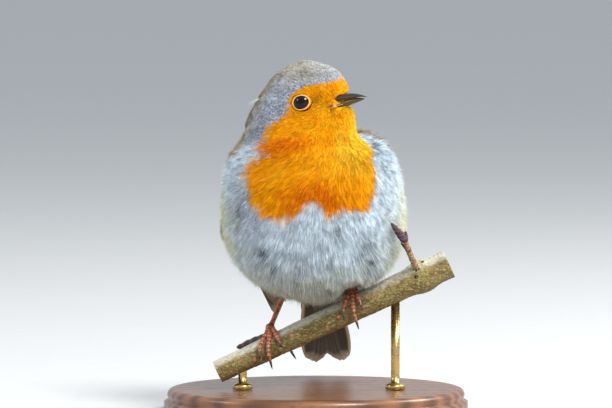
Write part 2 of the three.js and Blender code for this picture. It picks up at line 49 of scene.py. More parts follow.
BASE = {"radius": 52.0, "height": 8.0, "edge": 2.2, "step": 1.1}
ROD = {"radius": 1.5, "collar": 3.4, "collar_height": 2.2, "left": -25.0, "right": 27.0}
PERCH = {"height": 29.8, "slope": math.radians(25.1), "start": -37.0, "end": 50.0, "radius": 4.2,
         "taper": 0.0125, "node": 40.0, "node_swell": 0.9, "node_length": 4.0}
HEAD_CENTRE = np.array([-4.6, -8.0, 107.0])
HEAD_YAW = math.radians(62)
HEAD_PITCH = math.radians(12)
EYE = {"radius": 3.6, "forward": 4.7, "side": 8.4, "up": -1.5, "opening": 2.5, "slit": 1.2, "tilt": 0.1}
BILL = {"drop": -3.5, "base": 8.6, "tip": 24.5, "half_width": 3.3, "openness": 0.45}
WING = {"bulge": 11.6, "thickness": 2.5, "tip_thickness": 0.55, "roll": (10.0, 55.0), "tuck": 3.0}
TAIL = {"root": np.array([0.4, 17.0, 50.8]), "tip": np.array([4.5, 63.5, 12.4]), "root_half": 5.2,
        "half": 9.1, "thickness": 0.85, "ridge": 1.1, "notch": 5.0, "rounding": 4.2}
LEG = {"tarsus": 0.9, "ankle": 1.35, "ball": 1.75, "toe": 0.92}
CLAW = {"length": 4.6, "radius": 0.62, "tip": 0.14}

# Ovals across the body from crown to tail coverts: sideways shift, front point and back point in the
# middle plane (behind the perch, height), half width, turn about the upright, powers of front and back.
SECTIONS = (
    ("crown", -3.7, (-8, 120.2), (-8, 120.2), 0, 62, 2, 2),
    ("pate", -3.7, (-16.7, 118.4), (0.8, 116.6), 7.6, 62, 2, 2),
    ("brow", -3.7, (-21.8, 114.4), (5.8, 111.6), 10.9, 62, 1.9, 2),
    ("eye", -4.5, (-24.8, 108.7), (10.2, 105.0), 12.0, 62, 1.7, 2),
    ("chin", -5.0, (-25.2, 101.6), (14.2, 100.0), 13.8, 60, 1.8, 2),
    ("throat", -4.4, (-24.8, 94.5), (14.6, 98.2), 17.8, 48, 2, 2.1),
    ("neck", -1.1, (-26.6, 87.0), (14.2, 98.0), 23.2, 18, 2, 2.5),
    ("shoulder", -1.4, (-29, 77.5), (18.4, 93.0), 28.4, 4, 2, 2.2),
    ("breast", -1.2, (-29.6, 67), (23.0, 86.0), 30.4, 0, 2, 1.9),
    ("middle", -0.9, (-27.5, 56.5), (26.8, 78.5), 31.1, 0, 2, 1.75),
    ("belly", -0.6, (-21.5, 47), (29.6, 69.5), 29.8, 0, 2, 1.7),
    ("flank", -0.4, (-12.5, 41), (31.4, 61), 24.8, 0, 2, 1.7),
    ("vent", 0.2, (2, 37.7), (33.4, 53), 16.2, 0, 2, 1.8),
    ("coverts", 0.8, (19, 36.8), (37, 45.6), 9.0, 0, 2, 2),
    ("covert_end", 1.5, (37, 38), (37, 38), 0, 0, 2, 2),
)
LAST_ROW = len(SECTIONS) - 1

FEET = {
    "right": {"side": -1, "ball": -14.4, "ankle": (-6.4, 12.5, 50.5), "toes": {
        "inner": (0.8, 1.0, 78, -6), "middle": (-0.3, -4.6, 122, 30),
        "outer": (-1.2, -6.6, 84, 6), "hind": (0.1, 3.0, -132, 26)}},
    "left": {"side": 1, "ball": 16.6, "ankle": (6.8, 12.5, 60.5), "toes": {
        "inner": (-0.9, -6.0, 82, 6), "middle": (-0.2, -3.4, 122, 30),
        "outer": (0.9, 0.4, 78, -4), "hind": (0.1, 1.8, -112, -10)}},
}

WING_LINE = ((20.6, -4, 89.0), (25.8, 6, 77.5), (24.5, 18, 63.0), (16.6, 28, 48.5), (11.0, 38, 33.8))


# ---------------------------------------------------------------- small mathematics


def ease(t):
    """Goes from 0 at t = 0 to 1 at t = 1 as 3t^2 - 2t^3 and holds outside."""
    c = np.clip(t, 0, 1)
    return c * c * (3 - 2 * c)


def hill(across, along=0.0):
    """1 at the middle and falling away on all sides: exp(-across^2 - along^2)."""
    return np.exp(-across ** 2 - along ** 2)


def circle(count):
    """Angles of even places round a circle."""
    return np.linspace(0, 2 * math.pi, count, endpoint=False)


def unit(v):
    """Each vector divided by its length."""
    return v / np.maximum(np.linalg.norm(v, axis=-1, keepdims=True), 1e-12)


def smooth_rows(rows, at):
    """Catmull-Rom curve through rows (with a ghost row at each end) at fractional row numbers `at`."""
    first = np.clip(np.floor(at).astype(int), 0, len(rows) - 4)
    t = (at - first)[..., None]
    p0, p1, p2, p3 = rows[first], rows[first + 1], rows[first + 2], rows[first + 3]
    m1, m2, step = (p2 - p0) / 2, (p3 - p1) / 2, p2 - p1
    return p1 + t * (m1 + t * (3 * step - 2 * m1 - m2 + t * (m1 + m2 - 2 * step)))


def ghosted(points):
    """Points with one more at each end, continued straight."""
    p = np.array(points, float)
    return np.vstack([2 * p[0] - p[1], p, 2 * p[-1] - p[-2]])


def smooth_path(points, count):
    """Catmull-Rom curve through points, its ends continued straight, at `count` even parameters."""
    return smooth_rows(ghosted(points), np.linspace(0, len(points) - 1, count))


def ripple(points, size, seed):
    """Smooth noise from about -1 to 1: a scaled sum of six sine waves of wavelength about `size`, in mixed
    directions."""
    dice = np.random.default_rng(seed)
    total = np.zeros(points.shape[:-1])
    for _ in range(6):
        wave = unit(dice.normal(size=3)) * 2 * math.pi / (size * dice.uniform(0.7, 1.5))
        total = total + np.sin(points @ wave + dice.uniform(0, 2 * math.pi))
    return total / 3.2


# ---------------------------------------------------------------- meshes


def make_piece(name, points, faces, materials, attributes=None, uv=None, normals=None, material_index=None):
    """A mesh object from points in the perch's frame (mm) and rows of corner numbers. Rows of `faces`
    all have the same length, or it is a list of such arrays. Attributes, uv and normals are per point."""
    blocks = faces if isinstance(faces, list) else [faces]
    blocks = [np.asarray(b, np.int32) for b in blocks if len(b)]
    corners = np.concatenate([b.ravel() for b in blocks])
    sizes = np.concatenate([np.full(len(b), b.shape[1], np.int32) for b in blocks])
    starts = np.concatenate([[0], np.cumsum(sizes)[:-1]]).astype(np.int32)
    co = (np.asarray(points, float) + np.array([0, PERCH_Y, 0])) * MM
    mesh = bpy.data.meshes.new(name)
    mesh.vertices.add(len(co))
    mesh.vertices.foreach_set("co", co.astype(np.float32).ravel())
    mesh.loops.add(len(corners))
    mesh.loops.foreach_set("vertex_index", corners)
    mesh.polygons.add(len(sizes))
    mesh.polygons.foreach_set("loop_start", starts)
    mesh.polygons.foreach_set("use_smooth", np.ones(len(sizes), bool))
    for material in materials:
        mesh.materials.append(material)
    if material_index is not None:
        mesh.polygons.foreach_set("material_index", np.asarray(material_index, np.int32))
    for key, values in (attributes or {}).items():
        mesh.attributes.new(key, "FLOAT_COLOR", "POINT").data.foreach_set(
            "color", np.asarray(values, np.float32).ravel())
    if uv is not None:
        layer = mesh.uv_layers.new(name="OFBake")
        layer.data.foreach_set("uv", np.asarray(uv, np.float32)[corners].ravel())
    mesh.update(calc_edges=True)
    if normals is not None:
        mesh.normals_split_custom_set_from_vertices(normals.astype(np.float32))
    piece = bpy.data.objects.new(name, mesh)
    bpy.context.scene.collection.objects.link(piece)
    return piece


def grid_faces(rows, cols, start=0, wrap=True, flip=False):
    """Quads over a grid of rows by cols points numbered along the rows; wrap joins last to first column."""
    r, c = np.meshgrid(np.arange(rows - 1), np.arange(cols if wrap else cols - 1), indexing="ij")
    nxt = (c + 1) % cols
    quads = np.stack([r * cols + c, r * cols + nxt, (r + 1) * cols + nxt, (r + 1) * cols + c], -1)
    quads = quads.reshape(-1, 4) + start
    return quads[:, ::-1] if flip else quads


def close_grid(points, start=0, flip=False):
    """A grid of rows by cols points as a closed skin: both end rings are closed by a fan to their middle.
    Returns the points with the two middles added, and the quads and triangles."""
    rows, cols = points.shape[:2]
    flat = np.vstack([points.reshape(-1, 3), points[0].mean(0), points[-1].mean(0)])
    quads = grid_faces(rows, cols, start, True, flip)
    c = np.arange(cols)
    nxt = (c + 1) % cols
    low = np.stack([np.full(cols, rows * cols), nxt, c], -1)
    last = (rows - 1) * cols
    high = np.stack([np.full(cols, rows * cols + 1), last + c, last + nxt], -1)
    fans = np.vstack([low, high]) + start
    return flat, quads, (fans[:, ::-1] if flip else fans)


CHANNELS = 4
NO_VALUE = np.zeros(CHANNELS)


def channels(first, second=0.0, third=0.0, fourth=0.0):
    """Per-point values side by side, each a number or an array."""
    return np.stack(np.broadcast_arrays(first, second, third, fourth), -1)


class Heap:
    """Gathers closed grids and their per-point values into one piece."""

    def __init__(self):
        """Starts empty."""
        self.points, self.quads, self.fans, self.values, self.count = [], [], [], [], 0
        self.quad_slots, self.fan_slots = [], []

    def add(self, grid, value=NO_VALUE, flip=False, slot=0, loop=False):
        """Adds a grid of rows by cols points, closed by fans at both ends, or joined end to end if it is
        a loop. `value` is one row of channels, or an array of rows by cols by channels."""
        flat, quads, fans = close_grid(grid, self.count, flip)
        if loop:
            rows, cols = grid.shape[:2]
            flat, fans = flat[:-2], fans[:0]
            quads = np.vstack([quads, self.joining(rows, cols, flip)])
        value = np.broadcast_to(np.asarray(value, float), (*grid.shape[:2], CHANNELS))
        ends = [] if loop else [value[0].mean(0), value[-1].mean(0)]
        self.values.append(np.vstack([value.reshape(-1, CHANNELS), *ends]))
        self.points.append(flat)
        self.quads.append(quads)
        self.fans.append(fans)
        self.quad_slots.append(np.full(len(quads), slot))
        self.fan_slots.append(np.full(len(fans), slot))
        self.count += len(flat)

    def joining(self, rows, cols, flip):
        """Quads from the last ring of a loop back to its first."""
        c = np.arange(cols)
        nxt = (c + 1) % cols
        last = (rows - 1) * cols
        quads = np.stack([last + c, last + nxt, nxt, c], -1) + self.count
        return quads[:, ::-1] if flip else quads

    def make(self, name, materials, key, nodes=()):
        """Joins the grids into one piece that stands in for the nodes and takes a finish slot. The
        gathered values become the attribute `key`."""
        faces = [np.vstack(self.quads), np.vstack(self.fans)]
        piece = make_piece(name, np.vstack(self.points), faces, materials, {key: np.vstack(self.values)},
                           material_index=np.concatenate(self.quad_slots + self.fan_slots))
        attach(piece, "root")
        if nodes:
            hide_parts(*nodes)
        return piece


def tube(path, radius, sides, up):
    """Rings round a path. `radius` is a number per point or a points by sides array; the first side
    faces `up`."""
    tangent = unit(np.gradient(path, axis=0))
    side = unit(np.cross(tangent, np.asarray(up, float)))
    top = np.cross(side, tangent)
    angle = circle(sides)
    r = np.asarray(radius, float)
    r = (r[:, None] if r.ndim == 1 else r)[..., None]
    ring = top[:, None] * np.cos(angle)[None, :, None] + side[:, None] * np.sin(angle)[None, :, None]
    return path[:, None] + ring * r


def dome(count):
    """Factors along a tube that close both ends roundly: the square root of 1 - |2t - 1|^8."""
    t = np.linspace(0, 1, count)
    return np.sqrt(np.maximum(1 - np.abs(2 * t - 1) ** 8, 0)) * 0.999 + 0.001


# ---------------------------------------------------------------- body surface


def section_table():
    """Each oval as shift, middle y and z, half width, half length, turn, tilt and the two powers, with
    mirrored ovals as ghost rows at the ends, so that both ends are smooth caps."""
    table = []
    for _, x, front, back, half, turn, snout, ridge in SECTIONS:
        dy, dz = back[0] - front[0], back[1] - front[1]
        table.append([x, (front[0] + back[0]) / 2, (front[1] + back[1]) / 2, half,
                      math.hypot(dy, dz) / 2, math.radians(turn), math.atan2(dz, dy), snout, ridge])
    rows = np.array(table)
    rows[0, 6] = rows[1, 6]
    rows[-1, 6] = rows[-2, 6]
    before, after = rows[1].copy(), rows[-2].copy()
    before[3:5] *= -1
    after[3:5] *= -1
    return np.vstack([before, rows, after])


BODY = section_table()


def body_point(angle, row):
    """The outer form. `row` runs from 0 at the crown to 14 behind the tail coverts; `angle` from the
    front towards the bird's left. Ahead and aside are the oval's |cos|^p and |sin|^p in those directions."""
    x, y, z, half, reach, turn, tilt, snout, ridge = np.moveaxis(smooth_rows(BODY, row), -1, 0)
    c, s = np.cos(angle), np.sin(angle)
    power = 2 / np.where(c > 0, snout, ridge)
    ahead = reach * np.sign(c) * np.abs(c) ** power
    aside = half * np.sign(s) * np.abs(s) ** power
    level = ahead * np.cos(tilt)
    return np.stack([x + level * np.sin(turn) + aside * np.cos(turn),
                     y - level * np.cos(turn) + aside * np.sin(turn), z - ahead * np.sin(tilt)], -1)


def body_frame(angle, row):
    """Point, outward normal, unit directions round and down the body, and millimetres per radian and
    per row, by central differences a little inside the ends."""
    row = np.clip(row, 0.03, LAST_ROW - 0.03)
    step = 0.012
    point = body_point(angle, row)
    round_by = (body_point(angle + step, row) - body_point(angle - step, row)) / (2 * step)
    down_by = (body_point(angle, row + step) - body_point(angle, row - step)) / (2 * step)
    normal = unit(np.cross(down_by, round_by))
    return (point, normal, unit(round_by), unit(down_by),
            np.linalg.norm(round_by, axis=-1), np.linalg.norm(down_by, axis=-1))


AHEAD = np.array([math.sin(HEAD_YAW) * math.cos(HEAD_PITCH), -math.cos(HEAD_YAW) * math.cos(HEAD_PITCH),
                  math.sin(HEAD_PITCH)])
ASIDE = np.array([-math.cos(HEAD_YAW), -math.sin(HEAD_YAW), 0.0])
UPWARD = np.cross(ASIDE, AHEAD)


def in_head(ahead, aside, upward):
    """A point ahead of, to the right of and above the head's centre."""
    parts = [np.asarray(a, float)[..., None] for a in (ahead, aside, upward)]
    return HEAD_CENTRE + parts[0] * AHEAD + parts[1] * ASIDE + parts[2] * UPWARD


def head_place(points):
    """The reverse of in_head: how far ahead, aside and up points lie."""
    d = points - HEAD_CENTRE
    return d @ AHEAD, d @ ASIDE, d @ UPWARD


BILL_ROOT = in_head(10.5, 0, BILL["drop"])


def eye_axes(side):
    """Middle of the eyeball, the direction that it looks in, a little forward of sideways, and the
    forward and upward directions square to that."""
    axis = unit(side * ASIDE + EYE["tilt"] * AHEAD)
    forward = unit(AHEAD - (AHEAD @ axis) * axis)
    return in_head(EYE["forward"], side * EYE["side"], EYE["up"]), axis, forward, np.cross(forward, axis)


def round_eye(side, height, across, stretch=1.0):
    """Rings round an eye's axis from their heights along it and their radii, which are stretched forwards;
    places round a ring are the last of the two directions."""
    middle, axis, forward, upward = eye_axes(side)
    turn = circle(across.shape[1])
    return (middle + axis * height[..., None] + forward * (stretch * across * np.cos(turn))[..., None]
            + upward * (across * np.sin(turn))[..., None])


def eye_distance(points, side):
    """How far points lie from the axis of an eye, and how far out along it."""
    middle, axis, forward, _ = eye_axes(side)
    d = points - middle
    out = d @ axis
    level = d @ forward
    rest = d - out[..., None] * axis - level[..., None] * forward
    return np.hypot(level / EYE["slit"], np.linalg.norm(rest, axis=-1)), out


def face_share(points):
    """1 at the root of the bill and round the eyes, falling to 0 some 16 mm from the bill."""
    share = 1 - ease((np.linalg.norm(points - BILL_ROOT, axis=-1) - 5) / 12)
    for side in (1, -1):
        share = np.maximum(share, 1 - ease((eye_distance(points, side)[0] - 3.4) / 3.5)
                           * np.ones_like(share))
    return share


def bill_half_width(v):
    """Half width at the share v of the bill's length: 3.3 (1 - v)^0.85 + 0.32."""
    return BILL["half_width"] * (1 - v) ** 0.85 + 0.32


def beside_bill(points):
    """How far the face is pressed in beside the bill's root, so that the horn's sides lie bare."""
    ahead, aside, upward = head_place(points)
    level = np.exp(-(((upward - BILL["drop"] - 0.25) / 2.3) ** 4))
    slant = 10.9 + 1.5 * (upward - BILL["drop"])
    return 1.55 * level * ease((ahead - slant) / 2.4) * ease((np.abs(aside) - 1.2) / 1.6)


def by_row(row, pairs):
    """Value at a row, read straight between (row, value) pairs."""
    return np.interp(row, [p[0] for p in pairs], [p[1] for p in pairs])


# By row: depth of the coat (mm), length of a feather's visible part (mm), and its bend (1/mm).
DEPTH = ((0, 0.8), (2, 0.7), (4, 0.9), (5, 1.2), (6, 1.6), (8, 2.0), (10, 2.6), (12.5, 2.6), (14, 1.6))
LENGTH = ((0, 2.3), (2, 2.2), (3.5, 2.6), (5, 3.8), (6, 4.8), (7, 5.8), (8, 7.0), (9.5, 8.4), (12, 8.6),
          (14, 7.0))
CURVE = ((0, 0.085), (4, 0.075), (6, 0.045), (8, 0.034), (12, 0.036), (14, 0.06))


def flank_share(angle, row):
    """1 on the flanks, where loose feathers stand clear of the coat."""
    front = ease((np.abs(angle) - 0.9) / 0.5) * (1 - ease((np.abs(angle) - 1.8) / 0.3))
    return front * ease((row - 6.3) / 0.9) * (1 - ease((row - 10.2) / 1.2))


def by_foot(points):
    """1 where the belly gives way to the bird's left foot, falling to 0 some 7 mm away."""
    away = np.hypot(points[..., 0] - 12.6, points[..., 2] - 42.0)
    return (1 - ease((away - 2.5) / 4.5)) * (points[..., 1] < 6)


def coat_depth(angle, row, points):
    """How far the skin lies inside the feather tips: least on the face, most under the belly."""
    back = ease((np.abs(angle) - 1.9) / 0.6) * ease((row - 5) / 1.5)
    depth = by_row(row, DEPTH) * (1 - 0.45 * face_share(points)) * (1 - 0.3 * back)
    return depth + 0.8 * flank_share(angle, row) + 0.8 * by_foot(points)


def coat_length(angle, row, points):
    """Length of a body feather's visible part."""
    back = ease((np.abs(angle) - 1.9) / 0.6) * ease((row - 5) / 1.5)
    return by_row(row, LENGTH) * (1 - 0.42 * face_share(points)) * (1 - 0.15 * back)


# ---------------------------------------------------------------- markings

# The orange patch: its upper edge is a row for each angle from the front, its side edges an angle for
# each row (the bird's right and left), and its hem a row for each signed angle, all in degrees.
PATCH_TOP = ((0, 2.05), (36, 2.13), (56, 2.27), (67, 2.37), (78, 2.49), (85, 2.9), (180, 3.4))
PATCH_RIGHT = ((2.6, 84), (3.6, 84), (4.07, 96), (4.6, 102), (5.1, 98), (5.58, 83), (6.05, 58), (6.4, 61),
               (6.72, 59), (7.1, 53), (7.37, 47), (7.6, 48), (7.85, 48), (8.3, 36))
PATCH_LEFT = ((2.6, 84), (3.6, 83), (4.07, 90), (4.6, 80), (5.36, 46), (5.97, 37), (6.8, 42), (7.2, 42),
              (7.7, 38), (8.3, 34))
PATCH_HEM = ((-60, 7.35), (-46, 7.5), (-43, 7.74), (-34, 7.9), (-26, 7.98), (-20, 8.0), (-14.5, 7.95),
             (-9.5, 7.72), (-6.5, 7.47), (-3, 7.38), (2, 7.4), (5, 7.6), (8.5, 7.9), (13, 7.75), (24, 7.68),
             (36, 7.78), (46, 7.5))

# Where olive brown begins, in degrees from the front: behind the head and behind the body.
NAPE_EDGE = ((0, 104), (2, 110), (3.2, 120), (4.4, 120), (5.4, 106))
BACK_EDGE = ((4.8, 84), (6.6, 83), (7.4, 92), (9, 96), (14, 96))


def patch_distance(angle, row, per_angle, per_row):
    """Millimetres inside the edge of the orange patch, negative outside it: the least of the distances
    to its top, its side and its hem."""
    degrees = np.degrees(angle)
    wide = np.abs(degrees)
    reach = np.where(degrees < 0, by_row(row, PATCH_RIGHT), by_row(row, PATCH_LEFT))
    to_side = np.radians(reach - wide) * per_angle
    to_top = (row - by_row(wide, PATCH_TOP)) * per_row
    to_hem = (by_row(degrees, PATCH_HEM) - row) * per_row
    return np.minimum(np.minimum(to_side, to_top), to_hem)


def markings(angle, row):
    """Shares of orange, olive brown, blue grey and buff at places on the body, the rest being white.
    Each edge is a distance run through ease(), roughened by smooth noise. Within the orange the fourth
    value is its tone instead, from painted shade at 0 to painted light at 1. The blue grey also carries
    painted shade below the breast on the bird's right and on the lower belly, where the buff carries painted
    shade and a painted green reflection."""
    angle = (angle + math.pi) % (2 * math.pi) - math.pi
    point, _, _, _, per_angle, per_row = body_frame(angle, row)
    wide = np.abs(np.degrees(angle))
    rough = ripple(point, 3.0, 5) * 0.5 + ripple(point, 1.3, 6) * 0.4
    inside = patch_distance(angle, row, per_angle, per_row) + rough
    orange = ease(inside / (1.6 + 1.5 * ease((row - 6.8) / 0.8)) + 0.5)
    cheek = ease((row - 3.3) / 0.6) * (1 - ease((row - 5.6) / 0.8)) * (angle < 0)
    orange = orange * (1 - 0.45 * cheek * ease((4.5 - inside) / 4.0) * ease(ripple(point, 2.2, 15) + 0.5))
    head = 1 - ease((row - 5.6) / 1.2)
    crown = ease((2.7 - row + 0.3 * ripple(point, 4.0, 7)) / 1.5) * (0.6 + 0.4 * ease((wide - 20) / 50))
    nape_edge = by_row(row, NAPE_EDGE)
    nape = ease((wide - nape_edge - 6 * ripple(point, 5.0, 16)) / 32)
    body_edge = by_row(row, BACK_EDGE) + 18 * (angle < 0) * (1 - ease((row - 5.4) / 1.1))
    brown_body = ease((wide - body_edge - 3 * ripple(point, 4.0, 23)) / 16) * ease((row - 4.9) / 0.8)
    brown = np.maximum(np.maximum(0.75 * crown, nape) * head, brown_body) * (1 - orange)
    signed = np.degrees(angle)
    chest = 1 - ease((row - np.where(signed < 0, 5.3, 4.5) - 0.3 * ripple(point, 6.0, 8)) / 1.1)
    # Painted shade: blue grey below the breast on the bird's right.
    hollow = hill((signed + 46) / 18, (row - 7.9) / 1.2)
    ahead, aside, upward = head_place(point)
    streak = hill((upward + 0.29 * ahead) / 0.5) * ease((ahead + 9.5) / 3)
    streak = streak * (ahead < 2) * (np.abs(aside) > 5)
    grey = np.maximum(0.9 * chest * (1 - 0.8 * streak), 0.75 * hollow)
    # Painted shade: grey on the lower belly.
    grey = np.maximum(grey, 0.42 * ease((row - 9.2) / 2.0)) * (1 - orange) * (1 - brown)
    buff = 0.9 * ease((wide - 38 - 9 * ripple(point, 8.0, 9)) / 46) * ease((row - 6.8) / 2.1)
    # Painted shade and a painted green reflection: buff on the lower belly.
    buff = np.maximum(buff, 0.9 * ease((row - 9.1 + 0.3 * ripple(point, 7.0, 17)) / 2.2))
    # Painted light on the orange towards the bird's left, painted shade on its lower middle and towards the
    # bird's right.
    painted_light = hill((signed - 24) / 32, (row - 4.7) / 1.5)
    painted_orange_shade = hill((signed + 2) / 24, (row - 7.3) / 0.6)
    painted_orange_shade = np.maximum(painted_orange_shade, 0.8 * hill((signed + 60) / 22, (row - 5.6) / 0.8))
    tone = np.clip(0.52 + 0.7 * painted_light - 0.62 * painted_orange_shade + 0.10 * ripple(point, 6.0, 18), 0, 1)
    buff = buff * (1 - orange) + tone * orange
    return channels(orange, brown, grey, buff)


# Painted shade lies on the side of the neck round this place, away from the key light.
NAPE_SHADE = np.array([-20.4, -14.6, 96.4])  # middle of the dark place on the neck's side


def painted_face_shade(points):
    """Painted shade on the face and neck: a line along the gape from the bill back under the eye, a patch
    before the eye, and the side of the neck."""
    ahead, aside, upward = head_place(points)
    wide = np.abs(aside)
    t = np.clip((ahead - 11.8) / 6.0, 0, 1)
    gape = np.hypot(upward - (-4.7 + 1.3 * t), 0.6 * np.maximum(11.8 - ahead, 0))
    line = (1 - ease((gape - 0.15) / 0.45)) * ease((ahead - 11.0) / 1.0) * (wide < 8.5)
    shade_before_eye = hill((ahead - 9.6) / 1.8, (upward + 1.6) / 1.6) * (wide > 5)
    nape = np.exp(-((points - NAPE_SHADE) ** 2).sum(-1) / 26.0)
    return np.clip(0.75 * line + 0.45 * shade_before_eye + 0.42 * nape, 0, 1)


# Painted shade where the belly's feathers part, and under the fold below the breast: angle (degrees), row,
# reach (mm).
SHADED_PARTINGS = ((-57, 7.8, 1.5), (-50, 7.5, 1.4), (-44, 7.15, 1.2), (-32, 8.9, 2.6), (-26, 9.5, 2.0),
            (33, 8.7, 2.2), (36, 9.3, 2.4), (10, 10.2, 2.2), (14, 8.0, 1.6), (-52, 7.9, 2.2), (-12, 9.9, 1.8),
            (44, 10.0, 2.0))


def parting_shade(angle, row, per_angle, per_row):
    """Near 1 at the middle of a patch of painted shade and 0 away from it, narrow across and long down the
    body.
    """
    share = np.zeros_like(angle)
    for degrees, at_row, reach in SHADED_PARTINGS:
        across = (angle - math.radians(degrees)) * per_angle / reach
        down = (row - at_row) * per_row / (2.0 * reach)
        share = np.maximum(share, hill(across, down))
    return share


# ---------------------------------------------------------------- lie of the coat


# By row: how far the feathers beside the breast lie outwards, as a share of their lie downwards.
OUTWARD = ((4.5, 0.0), (6.0, 0.25), (7.2, 0.5), (9, 0.45), (11, 0.2), (13, 0.0))


def lie_of_coat(angle, row, point, normal, around, down):
    """Unit direction in the skin that feathers point in. On the head it leads away from the root of the
    bill, then towards the nape; on the body it leads down the rows, and outwards beside the breast."""
    away = point - BILL_ROOT
    distance = np.linalg.norm(away, axis=-1)
    near = (1 - ease((distance - 8) / 24))[..., None]
    head = (1 - ease((row - 4.4) / 1.6))[..., None]
    nape = -0.45 * AHEAD + np.array([0, 0, -0.7])
    degrees = np.degrees(angle)
    outward = by_row(row, OUTWARD)
    outward = outward * np.sin(np.radians(np.clip(degrees * 1.5, -180, 180)))
    sway = 0.16 * ripple(point, 11.0, 11) + 0.10 * ripple(point, 4.5, 12)
    body = down + around * (outward + sway)[..., None]
    field = unit(away) * near * (1 + head) + (head * nape + (1 - head) * body) * (1 - 0.85 * near * head)
    field = field - (field * normal).sum(-1, keepdims=True) * normal
    return unit(field)


def wing_station(side, along):
    """Middle line of a folded wing, its tangent, the outward and the backward direction across it, its
    half width and half thickness at shares `along` of its length."""
    rows = ghosted([(MIDDLE_X + side * x, y, z) for x, y, z in WING_LINE])
    last = len(WING_LINE) - 1
    at = np.clip(along, 0, 1) * last
    middle = smooth_rows(rows, at)
    tangent = unit(smooth_rows(rows, np.minimum(at + 0.01, last))
                   - smooth_rows(rows, np.maximum(at - 0.01, 0)))
    out = np.zeros_like(middle)
    out[..., 0] = side
    out = unit(out - tangent * side * tangent[..., :1])
    across = -side * np.cross(tangent, out)
    roll = np.radians(WING["roll"][0] + (WING["roll"][1] - WING["roll"][0]) * ease(along))[..., None]
    taper = 1 - 0.62 * ease((along - 0.35) / 0.65)
    half = WING["bulge"] * taper * (0.42 + 0.58 * ease(along / 0.32))
    thick = WING["thickness"] + (WING["tip_thickness"] - WING["thickness"]) * np.clip(along, 0, 1) ** 0.8
    back = across * np.cos(roll) - out * np.sin(roll)
    face = across * np.sin(roll) + out * np.cos(roll)
    middle = middle - face * (WING["tuck"] * (1 - ease(along / 0.4)))[..., None]
    return middle, tangent, face, back, half, thick


def under_wing(points):
    """True where a folded wing covers a place: within the wing's outline, less a margin at its front."""
    covered = np.zeros(points.shape[:-1], bool)
    along = np.linspace(0.30, 0.98, 36)
    for side in (1, -1):
        middle, tangent, _, back, half, _ = wing_station(side, along)
        d = points[..., None, :] - middle
        nearest = np.linalg.norm(d, axis=-1).argmin(-1)
        gap = np.take_along_axis(d, nearest[..., None, None], -2)[..., 0, :]
        across = (gap * back[nearest]).sum(-1)
        inside = (across > -half[nearest] + 3.4) & (across < half[nearest] - 2.4)
        inside &= (gap * tangent[nearest]).sum(-1) > -1.0
        covered |= inside & (np.linalg.norm(gap, axis=-1) < 14) & (points[..., 0] * side > 0)
    return covered


# ---------------------------------------------------------------- coat of small feathers


def even_pairs(count, seed=0):
    """Pairs of numbers from 0 to 1 that fill the square evenly: multiples of two fixed steps, less their
    whole parts."""
    index = np.arange(1, count + 1) + seed
    return (index * 0.7548776662) % 1, (index * 0.5698402910) % 1


def spread_roots(count, density, seed):
    """Even places on the body: a low-discrepancy sequence is run through the running sums of area times
    density, first down the rows and then round each row. Returns angles and rows."""
    rows = np.linspace(0.05, LAST_ROW - 0.05, 420)
    angles = np.linspace(-math.pi, math.pi, 361)[:-1]
    a, r = np.meshgrid(angles, rows)
    point, _, _, _, per_angle, per_row = body_frame(a, r)
    weight = per_angle * per_row * density(a, r, point)
    across = np.cumsum(weight, 1)
    down = np.cumsum(across[:, -1])
    first, second = even_pairs(count, seed)
    at_row = np.interp(first, np.concatenate([[0], down / down[-1]]), np.arange(len(rows) + 1.0))
    line = np.minimum(at_row.astype(int), len(rows) - 1)
    share = across[line] / across[line, -1:]
    column = (share < second[:, None]).sum(1)
    before = np.where(column > 0, np.take_along_axis(share, np.maximum(column - 1, 0)[:, None], 1)[:, 0], 0)
    after = np.take_along_axis(share, np.minimum(column, len(angles) - 1)[:, None], 1)[:, 0]
    part = (second - before) / np.maximum(after - before, 1e-9)
    angle = angles[0] + (column + part - 0.5) * (angles[1] - angles[0])
    row = rows[0] + (at_row - 0.5) * (rows[1] - rows[0])
    return angle, np.clip(row, 0.04, LAST_ROW - 0.04)


BARB_ROLL = 0.9  # how far a barb may be turned about its own length, in radians


